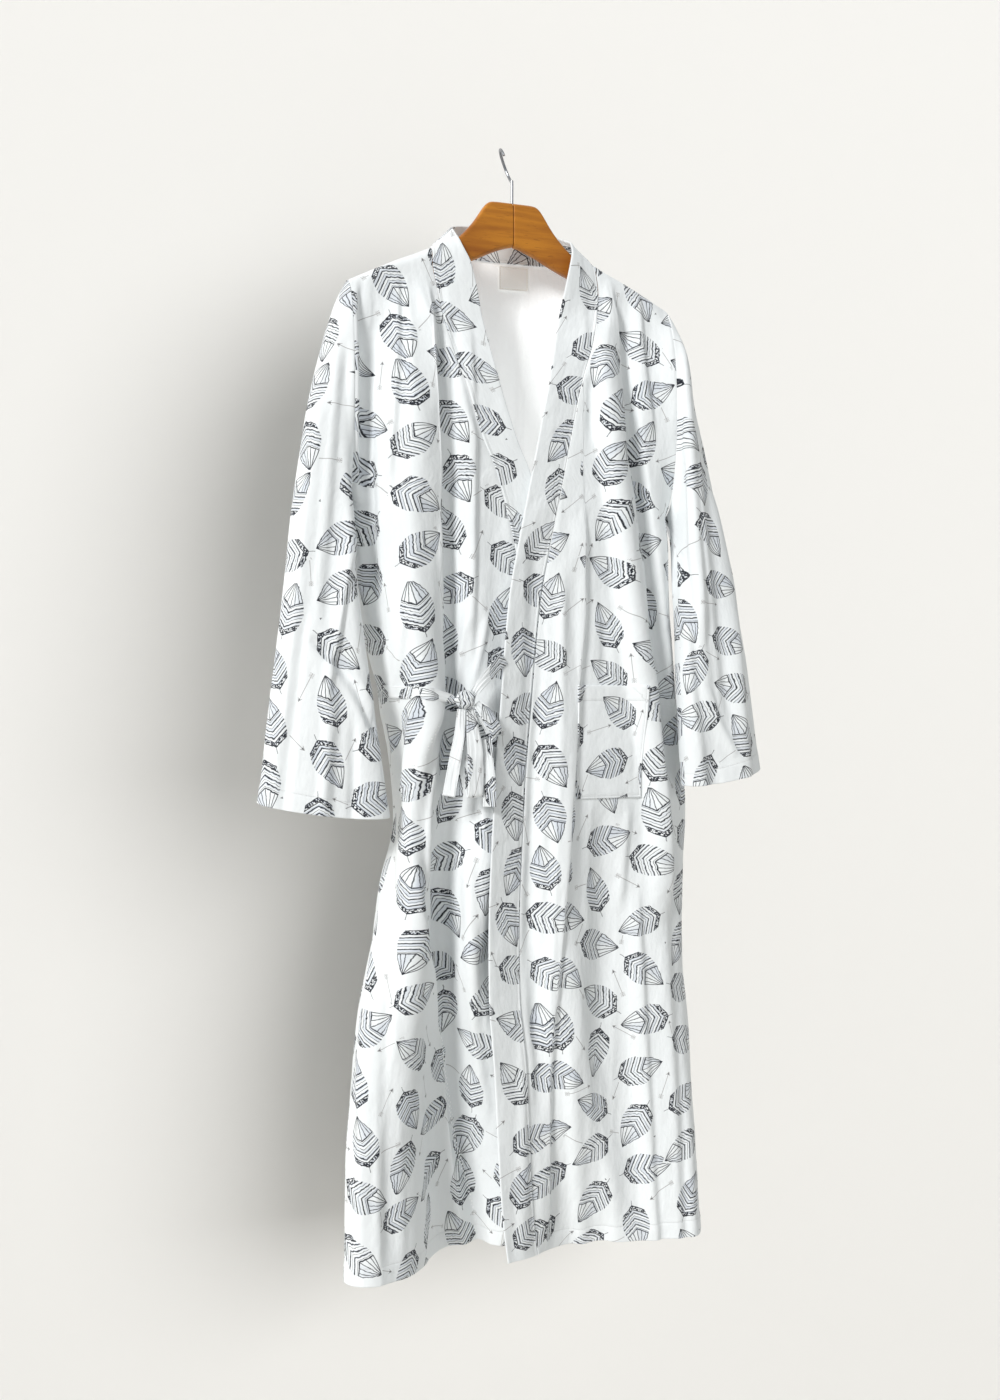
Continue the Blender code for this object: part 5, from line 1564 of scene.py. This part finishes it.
@dataclass
class Hanger:
    """Plain wooden hanger of two glued halves with a steel wire hook.

    Its stations are x, top and foot of the arm's outline.
    """

    half_thick: float = 0.0062
    bevel: float = 0.0050
    stations: Table = thousandths(
        (0.2, -62.5, -115), (0.6, -62.5, -115), (12, -62.5, -117.8), (24, -62.5, -122.8), (32, -63.5, -126.5),
        (40, -74, -130.5), (50, -90.5, -135.5), (67, -108.5, -143), (78, -118, -147.5), (95, -128.5, -154),
        (106, -132.5, -158), (120, -136, -163), (145, -146.6, -171), (177, -162.1, -183),
        (193, -170.1, -189.3), (196.5, -172.4, -190.2),
    )

    def arm(self, side: Side, finishes: Finishes) -> Thing:
        """Carve one arm: a thin slice drawn out station by station, then rounded."""
        sign = side.value
        bpy.ops.object.select_all(action="DESELECT")
        first, before = self.stations[:2]
        bpy.ops.mesh.primitive_cube_add(
            size=1.0, location=(sign * 0.5 * (first[0] + before[0]), 0.0, 0.5 * (first[1] + first[2])),
            scale=(before[0] - first[0], 2.0 * self.half_thick, first[1] - first[2]))
        arm = bpy.context.active_object
        arm.name = f"hanger_wood_{side.name.lower()}"
        bpy.ops.object.transform_apply(location=True, rotation=True, scale=True)
        bpy.ops.object.mode_set(mode="EDIT")
        bpy.ops.mesh.select_mode(type="FACE")
        bpy.ops.mesh.select_all(action="DESELECT")
        bpy.ops.object.mode_set(mode="OBJECT")
        for face in arm.data.polygons:
            face.select = face.normal.x * sign > 0.9
        bpy.ops.object.mode_set(mode="EDIT")
        for row in self.stations[2:]:
            middle = 0.5 * (before[1] + before[2])
            shift = (sign * (row[0] - before[0]), 0.0, 0.5 * (row[1] + row[2]) - middle)
            bpy.ops.mesh.extrude_region_move(TRANSFORM_OT_translate={"value": shift})
            bpy.ops.transform.resize(value=(1.0, 1.0, (row[1] - row[2]) / (before[1] - before[2])),
                                     center_override=(sign * row[0], 0.0, middle + shift[2]))
            before = row
        bpy.ops.transform.resize(value=(1.0, 0.8, 0.9),
                                 center_override=(sign * before[0], 0.0, 0.5 * (before[1] + before[2])))
        bpy.ops.mesh.select_all(action="DESELECT")
        bpy.ops.mesh.select_mode(type="EDGE")
        bpy.ops.object.mode_set(mode="OBJECT")
        for edge in arm.data.edges:
            a, b = (arm.data.vertices[k].co for k in edge.vertices)
            edge.select = abs(a.x - b.x) > 1e-5
        bpy.ops.object.mode_set(mode="EDIT")
        bpy.ops.mesh.bevel(offset=self.bevel, segments=4, profile=0.5, affect="EDGES")
        bpy.ops.mesh.select_all(action="SELECT")
        bpy.ops.mesh.remove_doubles(threshold=0.00001)
        bpy.ops.mesh.normals_make_consistent(inside=False)
        bpy.ops.object.mode_set(mode="OBJECT")
        smoothing = arm.modifiers.new("rounding", "SUBSURF")
        smoothing.levels = smoothing.render_levels = 2
        bpy.ops.object.modifier_apply(modifier="rounding")
        bpy.ops.object.shade_smooth_by_angle(angle=math.radians(50.0))
        for vertex in arm.data.vertices:
            vertex.co -= Vector(SEAT)
        arm.data.materials.clear()
        arm.data.materials.append(finishes.wood)
        return settle(arm, "oiled_wood", f"hanger_arm_{side.name.lower()}")

    def build(self, finishes: Finishes) -> None:
        """Make both arms and dress the hook."""
        for side in Side:
            self.arm(side, finishes)
        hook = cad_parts["hanger_hook"]
        hook.data.materials.clear()
        hook.data.materials.append(finishes.steel)


@dataclass
class Studio:
    """Pale wall and floor, soft light and the photograph's camera.

    A sun is its name, strength, the way it shines from and its spread in degrees.
    """

    wall_y: float = 0.215
    floor_z: float = -1.95
    paper: Colour = (0.912, 0.893, 0.860, 1.0)
    paper_shade: Colour = (0.86, 0.855, 0.835, 1.0)
    sky: Colour = (0.97, 1.0, 1.01, 1.0)
    sky_strength: float = 0.44
    wall_sun: tuple[object, ...] = ("wall_sun", 1.98, (0.92, -2.0, 0.30), 56.0)
    robe_sun: tuple[object, ...] = ("robe_sun", 2.45, (-1.62, -1.18, 1.05), 14.0)

    def paper_finish(self, name: str, one_sided: bool) -> Look:
        """Matt pale paper, seen from its front only where asked."""
        g = Graph(name)
        colour = g.mix(g.noise(g.place(), 60.0) * 0.04, self.paper, self.paper_shade)
        if one_sided:
            front = Value(g, g.shader.outputs[0])
            blend = g.node("MixShader", {0: g.node("NewGeometry", {}, "Backfacing"), 1: front,
                                         2: g.node("BsdfTransparent", {})})
            g.put(g.tree.nodes["Material Output"].inputs[0], blend)
        return g.finish({"Base Color": colour, "Roughness": 0.9})

    def backdrop(self) -> list[Thing]:
        """Wall behind the robe and floor below the frame."""
        made = []
        for name, size, place, turn in (
            ("studio_wall", 9.0, (0.0, self.wall_y, self.floor_z + 4.4), (math.pi / 2, 0.0, 0.0)),
            ("studio_floor", 12.0, (0.0, -2.0, self.floor_z), (0.0, 0.0, 0.0)),
        ):
            bpy.ops.object.select_all(action="DESELECT")
            bpy.ops.mesh.primitive_plane_add(size=size, location=place, rotation=turn)
            plane = bpy.context.active_object
            plane.name = name
            plane.data.materials.append(self.paper_finish(f"{name}_paper", name == "studio_wall"))
            plane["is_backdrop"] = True
            made.append(plane)
        return made

    def sun(self, lit: list[Thing], name: str, energy: float, aim: tuple[float, float, float],
            spread: float) -> None:
        """One wide sun that lights only some objects, while all of them cast its shadow."""
        light = bpy.data.lights.new(name, "SUN")
        light.energy = energy
        light.angle = math.radians(spread)
        holder = bpy.data.objects.new(name, light)
        bpy.context.scene.collection.objects.link(holder)
        holder.location = Vector((0.0, 0.0, -0.65)) + Vector(aim)
        holder.rotation_mode = "QUATERNION"
        holder.rotation_quaternion = Vector(aim).to_track_quat("Z", "Y")
        reached = bpy.data.collections.new(f"{name}_reaches")
        for thing in lit:
            reached.objects.link(thing)
        holder.light_linking.receiver_collection = reached

    def camera(self) -> None:
        """The photograph's viewpoint."""
        data = bpy.data.cameras.new("photo_camera")
        data.lens, data.sensor_width, data.shift_x = LENS, 36.0, FRAME_SHIFT
        holder = bpy.data.objects.new("photo_camera", data)
        away = np.array([-math.sin(VIEW_TURN), -math.cos(VIEW_TURN), 0.0]) * CAMERA_AWAY
        holder.location = Vector(away - SEAT) + Vector((0.0, 0.0, -CAMERA_DROP))
        holder.rotation_euler = (math.pi / 2, 0.0, -VIEW_TURN)
        bpy.context.scene.collection.objects.link(holder)
        bpy.context.scene.camera = holder

    def build(self) -> None:
        """Set the whole studio, its even surroundings too."""
        paper = self.backdrop()
        robe = [thing for thing in bpy.context.scene.objects if thing.type == "MESH" and thing not in paper]
        self.sun(paper, *self.wall_sun)
        self.sun(robe, *self.robe_sun)
        self.camera()
        world = bpy.data.worlds.new("studio_air")
        world.use_nodes = True
        background = world.node_tree.nodes["Background"]
        background.inputs["Color"].default_value = self.sky
        background.inputs["Strength"].default_value = self.sky_strength
        bpy.context.scene.world = world
        view = bpy.context.scene.view_settings
        view.view_transform, view.look = "Standard", "None"


def corners() -> list[list[float]]:
    """The shown object's box as plain lists."""
    return [[round(float(x), 6) for x in corner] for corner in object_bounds()]


def main() -> None:
    """Build the robe, its hanger and the studio in order."""
    logging.basicConfig(level=logging.INFO, format="%(name)s: %(message)s")
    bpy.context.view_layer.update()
    finishes = Finishes.make()
    back = BackPanel()
    right = FrontPanel("robe_front_right", (0.29, 1.22), 0.280, (0.35, 0.17), Side.RIGHT, UNDER, UNDER_FOLDS)
    left = FrontPanel("robe_front_left", (0.30, 1.22), 0.300, (1.31, 0.09), Side.LEFT, OVER, OVER_FOLDS,
                      tuck=0.017)
    bow = Bow()
    knot_x, knot_y, knot_z = bow.knot
    for piece in (
        Hanger(), back, right, left,
        Sleeve("robe_sleeve_right", (0.40, 0.52), 0.135, (3.06, 0.63), Side.RIGHT, RIGHT_SLEEVE),
        Sleeve("robe_sleeve_left", (0.42, 0.52), 0.140, (4.04, 0.87), Side.LEFT, LEFT_SLEEVE),
        NeckBand(right, left), PatchPocket(left),
        SideTie(right, (knot_x - 1.07 * bow.size[0] + 0.0002, knot_y + 0.001, knot_z)),
        bow, NeckLabel(back),
    ):
        piece.build(finishes)
    Studio().build()


if __name__ == "__main__":
    main()
